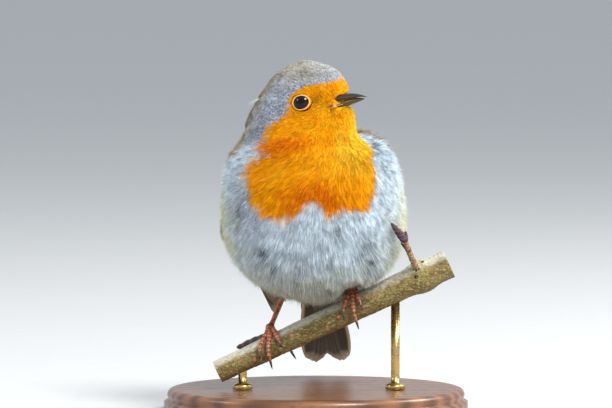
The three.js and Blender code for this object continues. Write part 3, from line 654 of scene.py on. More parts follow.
def tuft_mesh(root, normal, lie, length, spread, rise, bend, barbs, width, dice):
    """Small feathers as fans of barbs, each a long triangle. A barb starts part way up its feather's
    shaft and ends to one side, gathered with its neighbours into three locks; its height over the skin is
    rise * s * (1.5 - 0.5 s) less bend * s^2 for the share s of the feather's length."""
    count = len(root)
    shape = (count, barbs)
    side = np.cross(normal, lie)
    k = np.linspace(-1, 1, barbs)[None, :] + dice.normal(0, 0.08, shape)
    group = np.clip(np.round(k * 1.2), -1, 1)
    lock = group / 1.2
    start = 0.4 * (1 - np.abs(k)) * dice.random(shape)
    end = 1 - 0.24 * k ** 2 - 0.2 * dice.random(shape)
    share = np.stack([start, end], -1)
    gather = lock + (k - lock) * 0.24 + dice.normal(0, 0.08, shape)
    lateral = spread[:, None, None] * np.stack([0 * gather, gather], -1)
    lift = 1 + dice.normal(0, 0.22, (*shape, 1))
    height = rise[:, None, None] * share * (1.5 - 0.5 * share) * lift - bend[:, None, None] * share ** 2
    reach = length[:, None, None] * share
    spots = (root[:, None, None] + lie[:, None, None] * reach[..., None]
             + side[:, None, None] * lateral[..., None] + normal[:, None, None] * height[..., None])
    run = unit(spots[:, :, 1] - spots[:, :, 0])
    flat = unit(np.cross(normal[:, None], run))
    face = np.cross(run, flat)
    roll = dice.uniform(-BARB_ROLL, BARB_ROLL, (*shape, 1))
    wide = flat * np.cos(roll) + face * np.sin(roll)
    front = face * np.cos(roll) - flat * np.sin(roll)
    wide = wide * (width[:, None] * dice.uniform(0.7, 1.3, shape))[..., None] / 2
    points = np.stack([spots[:, :, 0] - wide, spots[:, :, 0] + wide, spots[:, :, 1]], 2)
    faces = np.arange(count * barbs)[:, None] * 3 + np.array([1, 0, 2])
    along = share[:, :, [0, 0, 1]]
    sideways = np.broadcast_to(k[..., None], along.shape)
    shading = np.broadcast_to(unit(normal[:, None] * 0.8 + front * 0.35)[:, :, None], points.shape)
    return (points.reshape(-1, 3), faces, along.reshape(-1), sideways.reshape(-1), shading.reshape(-1, 3),
            group.astype(int) + 1)


def swung(lie, normal, amount, dice):
    """Each lie turned in the skin by a random angle of the given spread, in radians."""
    swing = dice.normal(0, amount, len(lie))[:, None]
    return unit(lie * np.cos(swing) + np.cross(normal, lie) * np.sin(swing))


def map_place(angle, row):
    """Place on the baking map: the angle across and the row downwards, over a strip for wings and thighs."""
    return np.stack([0.02 + 0.96 * (0.5 + angle / (2 * math.pi)), 0.14 + 0.84 * (1 - row / LAST_ROW)], -1)


SWING = 0.16  # how far feathers stray from the lie, in radians
PATCH_HALF = 0.0015  # half the size of a feather's own patch on the baking map


def coat_piece(name, angle, row, barbs, width, spread, wild, material, seed):
    """One piece of the coat from the places of its feathers. Marks are read at the middle of a feather,
    so that edges fall where its tip shows."""
    dice = np.random.default_rng(seed)
    point, normal, around, down, per_angle, per_row = body_frame(angle, row)
    lie = swung(lie_of_coat(angle, row, point, normal, around, down), normal, SWING, dice)
    length = coat_length(angle, row, point) * dice.uniform(0.8, 1.2, len(angle))
    footed = by_foot(point + lie * (0.5 * length)[:, None])
    length = length * (1 - 0.5 * footed)
    clear = ~under_wing(point)
    for side in (1, -1):
        for share, room in ((0.0, 0.30), (0.5, 0.18), (1.0, 0.06)):
            away, out = eye_distance(point + lie * (length * share)[:, None], side)
            clear &= (away > EYE["opening"] + room) | (out < 0)
    ahead, aside, upward = head_place(point)
    v = (ahead - BILL["base"]) / (BILL["tip"] - BILL["base"])
    press = beside_bill(point)
    clear &= ~((v > 0.15 + 0.12 * (upward - BILL["drop"]))
               & (np.abs(aside) - press < bill_half_width(v.clip(0, 1)) + 0.25)
               & (np.abs(upward - BILL["drop"] - 0.25) < 2.35))
    point = point - normal * press[:, None]
    kept = (angle, row, point, normal, around, down, per_angle, per_row, lie, length, footed)
    angle, row, point, normal, around, down, per_angle, per_row, lie, length, footed = [
        values[clear] for values in kept]
    depth = coat_depth(angle, row, point)
    count = len(angle)
    shoulder = hill((np.degrees(angle) - 108) / 16, (row - 6.05) / 0.45)
    ruffle = 1 + wild * dice.normal(0, 1, count) + 0.10 * ripple(point, 5.0, 13)
    rise = (depth - flank_share(angle, row) + 1.3 * shoulder) * (1 - 0.7 * footed) * ruffle + 0.1
    bend = length ** 2 * by_row(row, CURVE) * 0.5
    tip = 0.55 * length
    tip_angle = angle + tip * (lie * around).sum(-1) / np.maximum(per_angle, 3.0)
    tip_row = np.clip(row + tip * (lie * down).sum(-1) / np.maximum(per_row, 1.0), 0.04, LAST_ROW - 0.04)
    marks = markings(tip_angle, tip_row)
    root = point - normal * depth[:, None]
    # Painted shade: parted feathers in half of the partings, and the face's and neck's shade at each tip.
    parted_shade = parting_shade(angle, row, per_angle, per_row) * (dice.random(count) < 0.5)
    shade = np.maximum(painted_face_shade(point + lie * tip[:, None]), 0.9 * parted_shade)
    feather_piece(name, root, normal, lie, length, spread, rise, bend, barbs, width, marks, shade,
                  map_place(angle, row), material, dice)


def feather_piece(name, root, normal, lie, length, spread, rise, bend, barbs, width, marks, shade, middle,
                  material, dice):
    """Joins feathers into one piece with its marks, its barb values and its baking map. The share of
    orange is sharpened barb by barb, so that an edge is made of orange barbs over pale ones."""
    count = len(root)
    points, faces, along, sideways, shading, lock = tuft_mesh(
        root, normal, lie, length, spread * length, rise, bend, barbs, width * np.ones(count), dice)
    each = len(points) // count
    chance = np.repeat(dice.random(count), each)
    of_lock = np.take_along_axis(dice.random((count, 3)), lock, 1)
    barb_chance = np.repeat((0.7 * of_lock + 0.3 * dice.random((count, barbs))).ravel(), each // barbs)
    marks = np.repeat(marks, each, 0)
    marks[:, 0] = ease((marks[:, 0] + 0.9 * (barb_chance - 0.5) - 0.5) / 0.25 + 0.5)
    values = channels(along, chance, barb_chance, np.repeat(shade, each))
    uv = np.repeat(middle, each, 0) + np.stack([sideways.clip(-1, 1), 2 * along - 1], -1) * PATCH_HALF
    piece = make_piece(name, points, faces, [material], {"marks": marks, "barb": values}, uv, shading)
    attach(piece, "root")


def fluff_piece(name, angle, row, barbs, length, rise, material, seed):
    """Loose feathers over the coat, lying down and outwards, whose thin tips stand clear of it."""
    dice = np.random.default_rng(seed)
    point, normal, around, down, _, _ = body_frame(angle, row)
    lie = swung(unit(down + around * (np.sign(angle) * 0.45)[:, None]), normal, 0.3, dice)
    count = len(angle)
    marks = markings(angle, row)
    marks[:, 1] *= 0.2
    marks[:, 2] *= 0.3
    root = point - normal * (0.6 * coat_depth(angle, row, point))[:, None]
    reach = length * dice.uniform(0.7, 1.2, count)
    height = rise * dice.uniform(0.45, 1.1, count)
    feather_piece(name, root, normal, lie, reach, 0.24, height, 0 * height, barbs, 0.11, marks, 0 * reach,
                  map_place(angle, row), material, dice)


def coat_wing(side, material, count):
    """Small feathers over the wrist and front edge of a folded wing: places in even shares across and
    along its face, lying towards its tip."""
    dice = np.random.default_rng(300 + side)
    first, second = even_pairs(count)
    across = -1 + 1.9 * first
    along = 0.13 + 0.30 * second ** 1.1
    middle, tangent, face, back, half, thick = wing_station(side, along)
    tilt = across * 1.35
    arc = np.sin(tilt) / math.sin(1.35)
    normal = unit(face * np.cos(tilt)[:, None] + back * np.sin(tilt)[:, None])
    rise = thick * np.sqrt(np.clip(1 - arc ** 2, 0, 1))
    root = middle + back * (arc * half * 0.96)[:, None] + face * rise[:, None]
    lie = swung(unit(tangent - (tangent * normal).sum(-1, keepdims=True) * normal), normal, 0.14, dice)
    length = dice.uniform(3.6, 5.4, count)
    spot = np.stack([0.25 + 0.5 * (side < 0) + 0.22 * arc, 0.03 + 0.22 * (along + 0.05)], -1)
    marks = channels(0.0, 1 - 0.5 * ease((-arc - 0.75) / 0.25), 0.0, 0.6)
    feather_piece("coat_wing_" + ("left" if side > 0 else "right"), root, normal, lie, length, 0.26,
                  0.75 + 0 * length, 0.10 + 0 * length, 24, 0.13, marks, 0 * length, spot, material, dice)


def thigh_path(foot):
    """Middle line of a feathered thigh, from part way up the leg past the ankle into the belly."""
    low = foot_ball(foot)
    ankle = np.array(foot["ankle"])
    bare = 0.52 if foot["side"] < 0 else 0.3
    return smooth_path([low + (ankle - low) * bare, ankle + np.array([foot["side"] * 0.6, -2.5, -1]),
                        ankle + np.array([foot["side"] * 3.0, -6.0, 9.0])], 40)


def thigh_radius(t):
    """A tapered leg 1.0 + 3.3 ease(t / 0.9) with rounded ends."""
    return (1.0 + 3.3 * ease(t / 0.9)) * dome(len(t))


THIGH_FEATHERS = 699


def coat_thighs(material):
    """Short feathers round both thighs, lying down towards the foot."""
    dice = np.random.default_rng(410)
    blocks = []
    for foot in FEET.values():
        path = thigh_path(foot)
        t = np.linspace(0, 1, 40)
        grid = tube(path, thigh_radius(t), 40, (0, -1, 0.2))
        i, j = even_pairs(THIGH_FEATHERS)
        i, j = 2 + 34 * i, 40 * j
        a, b = i.astype(int), j.astype(int)
        root = grid[a, b] + (grid[a + 1, b] - grid[a, b]) * (i - a)[:, None]
        normal = unit(root - path[a])
        lie = unit(path[a] - path[np.minimum(a + 1, 39)])
        lie = unit(lie - (lie * normal).sum(-1, keepdims=True) * normal)
        spot = np.stack([0.5 + 0.2 * foot["side"] * (b / 40), 0.005 + 0.01 * i / 40], -1)
        blocks.append((root, normal, lie, spot))
    root, normal, lie, spot = [np.vstack(block) for block in zip(*blocks)]
    count = len(root)
    marks = channels(np.zeros(count), fourth=0.6)
    feather_piece("coat_thighs", root, normal, lie, dice.uniform(2.6, 4.2, count), 0.22, 0.7 * np.ones(count),
                  0.25 * np.ones(count), 24, 0.10, marks, np.zeros(count), spot, material, dice)


NOWHERE = 1e-9  # a density that keeps the running sums rising where nothing grows


def band(low_row, high_row, low_wide, high_wide, side=0):
    """A density that is 1 between two rows and two angles from the front (degrees), on one side or both."""
    def density(angle, row, point):
        """1 within the band and clear of the wings, and next to nothing elsewhere."""
        wide = np.degrees(np.abs(angle))
        inside = (row >= low_row) & (row < high_row) & (wide >= low_wide) & (wide < high_wide)
        if side:
            inside &= np.sign(angle) == side
        return inside * ~under_wing(point) * 1.0 + NOWHERE
    return density


def face_density(angle, row, point):
    """The orange face and cheeks: thickest where the feathers are shortest."""
    wide = np.degrees(np.abs(angle))
    return ((row > 1.2) & (row < 4.8) & (wide < 92)) * (0.7 + 1.3 * face_share(point)) + NOWHERE


def crown_density(angle, row, point):
    """Even over the crown, the head's sides behind the face and the nape."""
    wide = np.degrees(np.abs(angle))
    return (((row <= 1.2) | (wide >= 92)) & (row < 4.8)) * 1.0 + NOWHERE


# Pieces of the coat: where, number of feathers, barbs in each, width of a barb (mm), spread and wildness.
COAT = {
    "coat_face": (face_density, 9500, 18, 0.11, 0.20, 0.15),
    "coat_crown": (crown_density, 9000, 18, 0.13, 0.21, 0.16),
    "coat_throat": (band(4.8, 6.5, 0, 100), 8200, 21, 0.14, 0.17, 0.20),
    "coat_breast": (band(6.5, 8.6, 0, 72), 8600, 21, 0.15, 0.15, 0.24),
    "coat_belly": (band(8.6, 14, 0, 66), 8600, 21, 0.16, 0.15, 0.26),
    "coat_flank_left": (band(6.5, 14, 66, 118, 1), 8600, 21, 0.15, 0.17, 0.30),
    "coat_flank_right": (band(6.5, 14, 66, 118, -1), 8600, 21, 0.15, 0.17, 0.30),
    "coat_back": (band(4.8, 14, 100, 181), 8000, 21, 0.14, 0.22, 0.12),
}


def beside(side):
    """Where loose feathers stand: beside the breast, and lower down round the flank."""
    def density(angle, row, point):
        """1 in that place on one side, and next to nothing elsewhere."""
        wide = np.degrees(np.abs(angle))
        inside = (row > 5.6) & (row < 10.4) & (wide > 54) & (wide < 96) & (np.sign(angle) == side)
        inside &= ~((row < 6.9) & (wide > 78)) & ~under_wing(point)
        return inside * 1.0 + NOWHERE
    return density


# Looser feathers whose tips stand out beside the breast and flanks: place, number, barbs, length (mm),
# how far they rise (mm).
FLUFF = {
    "fluff_left": (beside(1), 1900, 12, 4.4, 2.5),
    "fluff_right": (beside(-1), 1900, 12, 4.4, 2.5),
}


def make_coat(material):
    thinning = 1
    for number, (name, (density, count, barbs, width, spread, wild)) in enumerate(COAT.items()):
        angle, row = spread_roots(count // thinning, density, 1000 * number)
        coat_piece(name, angle, row, barbs, width * (1), spread, wild, material,
                   40 + number)
    for number, (name, (density, count, barbs, length, rise)) in enumerate(FLUFF.items()):
        angle, row = spread_roots(count // thinning, density, 9000 + number)
        fluff_piece(name, angle, row, barbs, length, rise, material, 60 + number)
    for side in (1, -1):
        coat_wing(side, material, 1500)
    coat_thighs(material)


# ---------------------------------------------------------------- skin


def perch_radius(along):
    """Radius of the branch: a steady taper and a swelling at the node."""
    swell = PERCH["node_swell"] * hill((along - PERCH["node"]) / PERCH["node_length"])
    return PERCH["radius"] + PERCH["taper"] * along + swell


def round_perch(along, angle, distance):
    """Point by its distance along the branch, its angle from the top towards the front, and its
    distance from the branch's axis."""
    rise = distance * np.cos(angle)
    slope = PERCH["slope"]
    x = along * math.cos(slope) - rise * math.sin(slope)
    z = PERCH["height"] + along * math.sin(slope) + rise * math.cos(slope)
    return np.stack(np.broadcast_arrays(x, -distance * np.sin(angle), z), -1)


def toe_path(foot, toe, t, lift=0.0):
    """Middle line of a toe: from the ball round the branch, hugging it, its end a little loose."""
    start, stop, wrap, _ = toe
    along = foot["ball"] + start + (stop - start) * ease(t * 0.9)
    loosening = 1.3 * max(0.0, abs(wrap) / 90 - 1) * ease((t - 0.62) / 0.38)
    hug = perch_radius(along) + LEG["toe"] + GAP + 0.7 * (1 - ease(t * 4)) + loosening * 3 + lift
    return round_perch(along, np.radians(wrap * t), hug)


def foot_ball(foot):
    """Middle of the ball of a foot, resting on top of the branch."""
    along = foot["ball"]
    return round_perch(np.array(along), 0.0, perch_radius(along) + LEG["ball"] + GAP)


def scutes(length_share, rings, angle, height):
    """Overlapping shields along a leg or toe: a sawtooth along the length, on the upper side only."""
    saw = (length_share * rings) % 1
    step = ease(saw / 0.82) * (1 - ease((saw - 0.82) / 0.18))
    top = ease((np.cos(angle) + 0.25) / 0.7)
    return height * (step - 0.5) * top


def leg_grids(foot):
    """The bare leg and toes of one foot as closed grids, each with how far its shields stand out, from
    -0.5 to 0.5."""
    count, sides = 72, 20
    t = np.linspace(0, 1, count)
    angle = circle(sides)
    ball = foot_ball(foot)
    ankle = np.array(foot["ankle"])
    grids = []
    shank = ball + (ankle - ball) * t[:, None]
    shank_radius = LEG["tarsus"] + (LEG["ankle"] - LEG["tarsus"]) * ease((t - 0.75) / 0.25)
    shank_radius = shank_radius + 0.5 * (1 - ease(t / 0.12))
    bumps = scutes(t[:, None], 9, angle[None], 0.10)
    radius = (shank_radius[:, None] + bumps) * dome(count)[:, None]
    grids.append((tube(shank, radius, sides, (0, -1, 0.2)), bumps / 0.2))
    for toe in foot["toes"].values():
        path = toe_path(foot, toe, t)
        path[:1] = ball * 0.35 + path[:1] * 0.65
        outward = toe_path(foot, toe, t, 1.0) - toe_path(foot, toe, t)
        knuckle = np.cos(2 * math.pi * 3 * t)
        radius = LEG["toe"] * (1 - 0.2 * t) * (0.95 + 0.10 * knuckle)
        bumps = scutes(t[:, None], int(abs(toe[2]) / 12), angle[None], 0.16)
        pads = 0.16 * np.maximum(-np.cos(angle), 0)[None] * (0.5 + 0.5 * knuckle)[:, None]
        grid = tube(path, (radius[:, None] + bumps + pads) * dome(count)[:, None], sides, outward)
        grids.append((grid, bumps / 0.16))
    turn = np.linspace(0.02, math.pi - 0.02, 14)
    sphere = ball + LEG["ball"] * 0.93 * np.stack(
        [np.sin(turn)[:, None] * np.cos(angle), -np.sin(turn)[:, None] * np.sin(angle),
         np.cos(turn)[:, None] * np.ones(sides)], -1)
    grids.append((sphere, np.zeros(sphere.shape[:2])))
    return grids


def make_skin(plumage, leg_skin, lid_skin):
    """One skin for the whole bird: the body inside its coat, with a hollow for each eye, the wings'
    flesh, the lids, the feathered thighs, and the bare legs and toes."""
    heap = Heap()
    rows = np.concatenate([np.linspace(0.02, 4.8, 120), np.linspace(4.86, LAST_ROW - 0.02, 130)])
    angle, row = np.meshgrid(np.linspace(-math.pi, math.pi, 241)[:-1], rows)
    point, normal, _, _, _, _ = body_frame(angle, row)
    depth = coat_depth(angle, row, point)
    hollow = np.zeros_like(depth)
    for side in (1, -1):
        away, out = eye_distance(point, side)
        hollow = np.maximum(hollow, 1.9 * (1 - ease((away - 2.2) / 0.9)) * (out > 0))
    fold = 0.10 * ripple(point, 1.6, 21) + 0.16 * ripple(point, 4.0, 22) * ease((row - 5) / 2)
    hollow = hollow + beside_bill(point)
    skin = point - normal * (depth + hollow - fold)[..., None]
    heap.add(skin, markings(angle, row))
    for side in (1, -1):
        along = np.linspace(0.01, 0.99, 60)
        middle, _, face, back, half, thick = wing_station(side, along)
        turn = circle(28) * side
        ring = (back[:, None] * (np.cos(turn)[None, :] * (half * 0.84)[:, None])[..., None]
                + face[:, None] * (np.sin(turn)[None, :] * (thick * 0.6)[:, None])[..., None])
        ring = ring * dome(60)[:, None, None]
        heap.add(middle[:, None] + ring, (0, 1, 0, 0), flip=True)
    for foot in FEET.values():
        thigh = tube(thigh_path(foot), thigh_radius(np.linspace(0, 1, 40)), 40, (0, -1, 0.2))
        heap.add(thigh, (0, 0, 0, 0.8))
    for foot in FEET.values():
        for grid, shield in leg_grids(foot):
            heap.add(grid, channels(shield + 0.5), slot=1)
    for side in (1, -1):
        ring = lid_ring(side)
        outer = ease((np.arange(ring.shape[1]) - 4.0) / 1.5) * np.ones(ring.shape[:2])
        heap.add(ring, channels(outer), slot=2, flip=side < 0, loop=True)
    heap.make("skin", [plumage, leg_skin, lid_skin], "marks",
              ("head", "neck", "trunk", "wing_left", "wing_right", "thigh_left", "thigh_right",
               "tarsus_left", "tarsus_right", "foot_left", "foot_right"))


# Section of an eye's rim: radius about the eye's axis and height along it (mm).
LID_SECTION = ((2.22, 2.2), (2.28, 2.58), (2.35, 2.70), (2.46, 2.74), (2.58, 2.68), (2.70, 2.50),
               (2.80, 2.1), (2.82, 1.7), (2.75, 1.2), (2.45, 1.2))


def lid_ring(side):
    """The bare rim of an eye as a closed ring: a section of radius and height points turned about the
    eye's axis, pinched a little to corners in front and behind, with fine creases."""
    section = np.array(LID_SECTION)
    turn = circle(96)
    crease = 1 + 0.012 * np.sin(23 * turn)
    corner = 1 + 0.03 * np.cos(2 * turn) ** 3
    radius = section[:, 0][:, None] * crease * corner
    height = section[:, 1][:, None] - 0.4 * np.cos(turn) ** 2
    return np.swapaxes(round_eye(side, height, radius, EYE["slit"]), 0, 1)


# ---------------------------------------------------------------- bill, eyes, claws


def mandible_grid(upper_edge, lower_edge, tip, rings=64, sides=40):
    """Half of the bill as places ahead, aside and up, and the share v of its length: ovals between an
    upper and a lower edge, closed roundly by the root of (1 - v^6) (1 - (1 - v)^12)."""
    v = (1 - np.cos(np.linspace(0, math.pi, rings))) / 2
    closing = np.sqrt(np.maximum((1 - v ** 6) * (1 - (1 - v) ** 12), 0)) * 0.998 + 0.002
    angle = circle(sides)
    ahead = BILL["base"] + v * (tip - BILL["base"])
    half = bill_half_width(v) * closing
    top, bottom = upper_edge(v), lower_edge(v)
    c, s = np.cos(angle), np.sin(angle)
    ridge = np.sign(c) * np.abs(c) ** 0.9
    upward = BILL["drop"] + ((top + bottom) / 2)[:, None] + ((top - bottom) / 2 * closing)[:, None] * ridge
    aside = half[:, None] * s
    return ahead[:, None] * np.ones(sides), aside, upward, v[:, None] * np.ones(sides)


def culmen(v):
    """Height of the ridge of the bill."""
    return 3.4 - 1.1 * v - 2.4 * v ** 4


def arch(v):
    """Rises and falls as half a sine wave over the front part of the bill."""
    return np.sin(math.pi * np.clip((v - 0.35) / 0.65, 0, 1))


def upper_cutting_edge(v):
    """Height of the upper half's edge, which arches and then hooks down."""
    return -0.08 + 0.5 * arch(v) - 0.45 * v ** 6


def lower_cutting_edge(v):
    """Height of the lower half's edge: a little below the upper one's, by the bill's openness."""
    return upper_cutting_edge(v) - 0.1 - 0.5 * BILL["openness"] * arch(v)


def keel(v):
    """Height of the underside of the bill."""
    return -1.9 - 0.2 * v + 1.3 * v ** 3


# The corner of the mouth: angles (degrees) and rows from the bill back below the eye.
GAPE_LINE = ((-8, 3.27), (-20, 3.33), (-28, 3.39), (-34.5, 3.43), (-41, 3.48))


def gape_grid(side, drop, radius):
    """A fine rim along the corner of the mouth: a tube on the coat's surface that thins towards its end."""
    angle = np.radians([a for a, _ in GAPE_LINE]) * side
    row = np.array([r for _, r in GAPE_LINE])
    point, normal, _, _, _, _ = body_frame(angle, row)
    path = smooth_path(point - normal * 0.12 + UPWARD * drop, 30)
    t = np.linspace(0, 1, 30)
    return tube(path, radius * (1 - 0.7 * t) * dome(30), 10, UPWARD)


def make_bill(horn):
    """Both halves of the bill, with the lining of the mouth in the lower one and the corners of the
    mouth. The channel values are the pale cutting edge and the share along."""
    for part, edges, tip in (("upper", (culmen, upper_cutting_edge), BILL["tip"]),
                             ("lower", (lower_cutting_edge, keel), BILL["tip"] - 0.7)):
        upper = part == "upper"
        ahead, aside, upward, share = mandible_grid(*edges, tip)
        if upper:
            slit = hill((share - 0.30) / 0.055, (upward - BILL["drop"] - 1.75 + 0.5 * (share - 0.3)) / 0.26)
            hood = hill((share - 0.29) / 0.075, (upward - BILL["drop"] - 2.25) / 0.30)
            aside = aside - np.sign(aside) * (0.42 * slit - 0.14 * hood) * (np.abs(aside) > 0.5)
        edge_height = upper_cutting_edge(share) if upper else lower_cutting_edge(share)
        pale = hill((upward - BILL["drop"] - edge_height) / (0.30 if upper else 0.46))
        heap = Heap()
        heap.add(in_head(ahead, aside, upward), channels(pale, share), flip=True)
        if not upper:
            ahead, aside, upward, _ = mandible_grid(lambda v: upper_cutting_edge(v) + 0.2,
                                                    lambda v: lower_cutting_edge(v) - 0.2, BILL["tip"] - 1.2)
            heap.add(in_head(ahead, aside * 0.7, upward), flip=True)
        for side in (1, -1):
            heap.add(gape_grid(side, 0.0 if upper else -0.45, 0.24 if upper else 0.16),
                     (0.0 if upper else 0.5, 0.1, 0, 0))
        heap.make("bill_horn_" + part, [horn], "horn", ["bill_" + part])


BEHIND_IRIS = 9.0  # stands for the back of the eyeball in its distance channel


def make_eyes(glass):
    """Each eyeball: a ball whose front bulges as a cornea, its pupil and iris told by a channel that is
    the distance from the axis."""
    for name, side in (("left", -1), ("right", 1)):
        polar = np.linspace(0.03, math.pi - 0.03, 40)
        radius = EYE["radius"] * (0.965 + 0.035 * hill(polar / 0.6))
        out = (radius * np.cos(polar))[:, None] * np.ones(56)
        wide = (radius * np.sin(polar))[:, None] * np.ones(56)
        heap = Heap()
        values = channels(np.where(out > 0, wide, BEHIND_IRIS), out)
        heap.add(round_eye(side, out, wide), values, flip=side > 0)
        heap.make("eyeball_" + name, [glass], "iris", ["eye_" + name])


def claw_grid(foot, toe):
    """A claw curving on from its toe: a tapered tube, round in section."""
    _, _, _, droop = toe
    end = toe_path(foot, toe, np.array(1.0))
    heading = unit(end - toe_path(foot, toe, np.array(0.92)))
    outwards = toe_path(foot, toe, np.array(1.0), 1.0) - end
    start = end - heading * 1.1
    inner = math.radians(28 - droop)
    middle = start + heading * CLAW["length"] * 0.52 + outwards * 0.32
    tip = (start + heading * CLAW["length"] * math.cos(inner)
           - outwards * CLAW["length"] * math.sin(inner) * 0.5)
    path = smooth_path([start, middle, tip], 30)
    t = np.linspace(0, 1, 30)
    radius = CLAW["radius"] + (CLAW["tip"] - CLAW["radius"]) * t ** 1.1
    closing = np.sqrt(np.maximum(1 - t ** 10, 0)) * np.sqrt(np.maximum(1 - (1 - t) ** 10, 0)) * 0.999 + 0.001
    return tube(path, radius * closing, 16, outwards)


def make_claws(horn):
    """Four claws to a foot, in one piece; the channel is the share along."""
    for name, foot in FEET.items():
        heap = Heap()
        for toe in foot["toes"].values():
            grid = claw_grid(foot, toe)
            heap.add(grid, channels(0.0, np.linspace(0, 1, len(grid))[:, None] * np.ones(grid.shape[1]), 1.0))
        heap.make("claws_" + name, [horn], "horn", [f"claw_{name}_{toe}" for toe in foot["toes"]])


# ---------------------------------------------------------------- wing and tail feathers


VANE_TURN = circle(22)  # places round the section of a flight feather


def vane_grid(path, normal, half, lead, camber, chance, pale, thickness=0.11):
    """A flight feather as a closed thin sheet: at each place along its shaft an oval-ended section lies
    across, arched by camber * x^2, with the shaft as a ridge. `lead` shifts the shaft to the front web.
    Its values are the share across, the share along, chance, and how pale its edge is."""
    tangent = unit(np.gradient(path, axis=0))
    across = unit(np.cross(tangent, normal))
    out = np.cross(across, tangent)
    x = np.cos(VANE_TURN)[None] * half[:, None] + lead * half[:, None]
    shaft = 0.16 * hill(x / 0.16) * np.linspace(1, 0.3, len(path))[:, None]
    z = np.sin(VANE_TURN)[None] * thickness / 2 * (0.2 + 0.8 * np.minimum(half / half.max(), 1))[:, None]
    z = z - camber * x ** 2 + shaft * np.sign(np.sin(VANE_TURN))[None].clip(-0.6, 1)
    value = channels(np.cos(VANE_TURN)[None], np.linspace(0, 1, len(path))[:, None], chance, pale)
    return path[:, None] + across[:, None] * x[..., None] + out[:, None] * z[..., None], value


def vane_outline(t, width, point=4.0):
    """Half width along a feather: quickly to full width, then a rounded end 1 - t^point."""
    return width * (0.35 + 0.65 * ease(t / 0.25)) * np.sqrt(np.maximum(1 - t ** point, 0)) + 0.02


# Rows of a folded wing, from the wrist down: number of feathers, the across and along share of the bases
# and of the tips (front feather, back feather), width (mm), height over the wing (mm) and paleness.
WING_ROWS = (
    ("primaries", 8, (-0.35, 0.30), (0.30, 0.42), (-0.72, 0.55), (1.03, 0.99), 3.6, 0.15, 0.3),
    ("secondaries", 6, (-0.55, 0.35), (0.22, 0.30), (-0.78, 0.30), (0.66, 0.80), 3.3, 0.45, 0.35),
    ("tertials", 3, (0.30, 0.62), (0.20, 0.24), (0.20, 0.72), (0.72, 0.55), 3.8, 0.8, 0.5),
    ("greater_coverts", 9, (-0.74, 0.70), (0.14, 0.18), (-0.84, 0.68), (0.44, 0.38), 2.7, 0.95, 0.55),
    ("median_coverts", 8, (-0.66, 0.66), (0.10, 0.12), (-0.74, 0.66), (0.30, 0.27), 2.5, 1.15, 0.5),
)


def make_wings(vane):
    """The folded wings: rows of feathers laid on the wing's own face like tiles, later rows on top.
    A feather's shaft runs straight from its base to its tip in shares across and along the wing."""
    for name, side in (("left", 1), ("right", -1)):
        dice = np.random.default_rng(77 + side)
        heap = Heap()
        for row_name, count, *spans, width, lift, pale in WING_ROWS:
            for j in range(count):
                t = np.linspace(0, 1, 26)
                s0, t0, s1, t1 = [first + (last - first) * j / (count - 1) for first, last in spans]
                t1 += dice.normal(0, 0.008)
                across = s0 + (s1 - s0) * ease(t * 0.9)
                along = t0 + (t1 - t0) * t
                middle, tangent, face, back, half, thick = wing_station(side, along)
                beyond = (np.maximum(along - 1, 0) + np.minimum(along, 0)) * 62
                height = thick * np.sqrt(np.clip(1 - across ** 2, 0, 1)) * 0.8 + lift * (1 - 0.45 * t)
                height = height + 0.05 * (count - j) * (1 if row_name == "primaries" else -1) + 0.1
                path = (middle + tangent * beyond[:, None] + back * (across * half * 0.96)[:, None]
                        + face * height[:, None])
                sharp = 3.0 if row_name.endswith("coverts") else 5.0
                outline = vane_outline(t, width * (0.8 if row_name == "primaries" else 1.0) * 0.62, sharp)
                heap.add(*vane_grid(path, face, outline, -0.25 * side, 0.05, dice.random(), pale))
        heap.make("wing_feathers_" + name, [vane], "vane", ["wing_" + name])


def make_tail(vane):
    """The closed tail: six feathers to each side of the middle, each laid under the one nearer to the
    middle, as a shallow roof with a notched end, and nine short coverts over its root."""
    along = TAIL["tip"] - TAIL["root"]
    length = np.linalg.norm(along)
    along = along / length
    aside = unit(np.array([1.0, 0, 0]) - along * along[0])
    upward = np.cross(aside, along)
    dice = np.random.default_rng(9)
    heap = Heap()
    for j in range(12):
        place = (j - 5.5) / 5.5
        t = np.linspace(0, 1, 40)
        notch = TAIL["notch"] * hill(place * 0.8 / 0.3) + TAIL["rounding"] * abs(place) ** 5 * 0.8
        reach = (length - notch + dice.normal(0, 0.25)) * t
        spread = (TAIL["root_half"] + (TAIL["half"] - TAIL["root_half"]) * ease(t * 1.15)) - 2.35
        x = place * spread
        height = 0.62 - 1.15 * abs(place) - TAIL["ridge"] * (x / TAIL["half"]) ** 2
        path = TAIL["root"] + along * reach[:, None] + aside * x[:, None] + upward * height[:, None]
        normal = upward[None] + aside[None] * (0.18 * place)
        pale = 0.1 + 0.9 * (abs(place) > 0.75) * ease(np.cos(VANE_TURN) * np.sign(place) * 3)
        # The tail's chance is below 0, which paints its feathers in shade.
        heap.add(*vane_grid(path, unit(normal) * np.ones((40, 1)), vane_outline(t, 2.9, 9.0),
                            -0.22 * np.sign(place), 0.03, -dice.uniform(0.5, 1), pale))
    for j in range(9):
        place = (j - 4) / 4
        t = np.linspace(0, 1, 24)
        reach = length * (0.22 + (0.36 - 0.07 * abs(place)) * t)
        x = place * (3.6 + 2.6 * t)
        height = 3.4 - 2.0 * ease(t) - 1.0 * abs(place)
        path = TAIL["root"] + along * reach[:, None] + aside * x[:, None] + upward * height[:, None]
        normal = upward[None] + aside[None] * (0.3 * place)
        heap.add(*vane_grid(path, unit(normal) * np.ones((24, 1)), vane_outline(t, 2.6, 3.0), 0.0, 0.05,
                            dice.random(), 0.3))
    heap.make("tail_feathers", [vane], "vane", ["tail"])


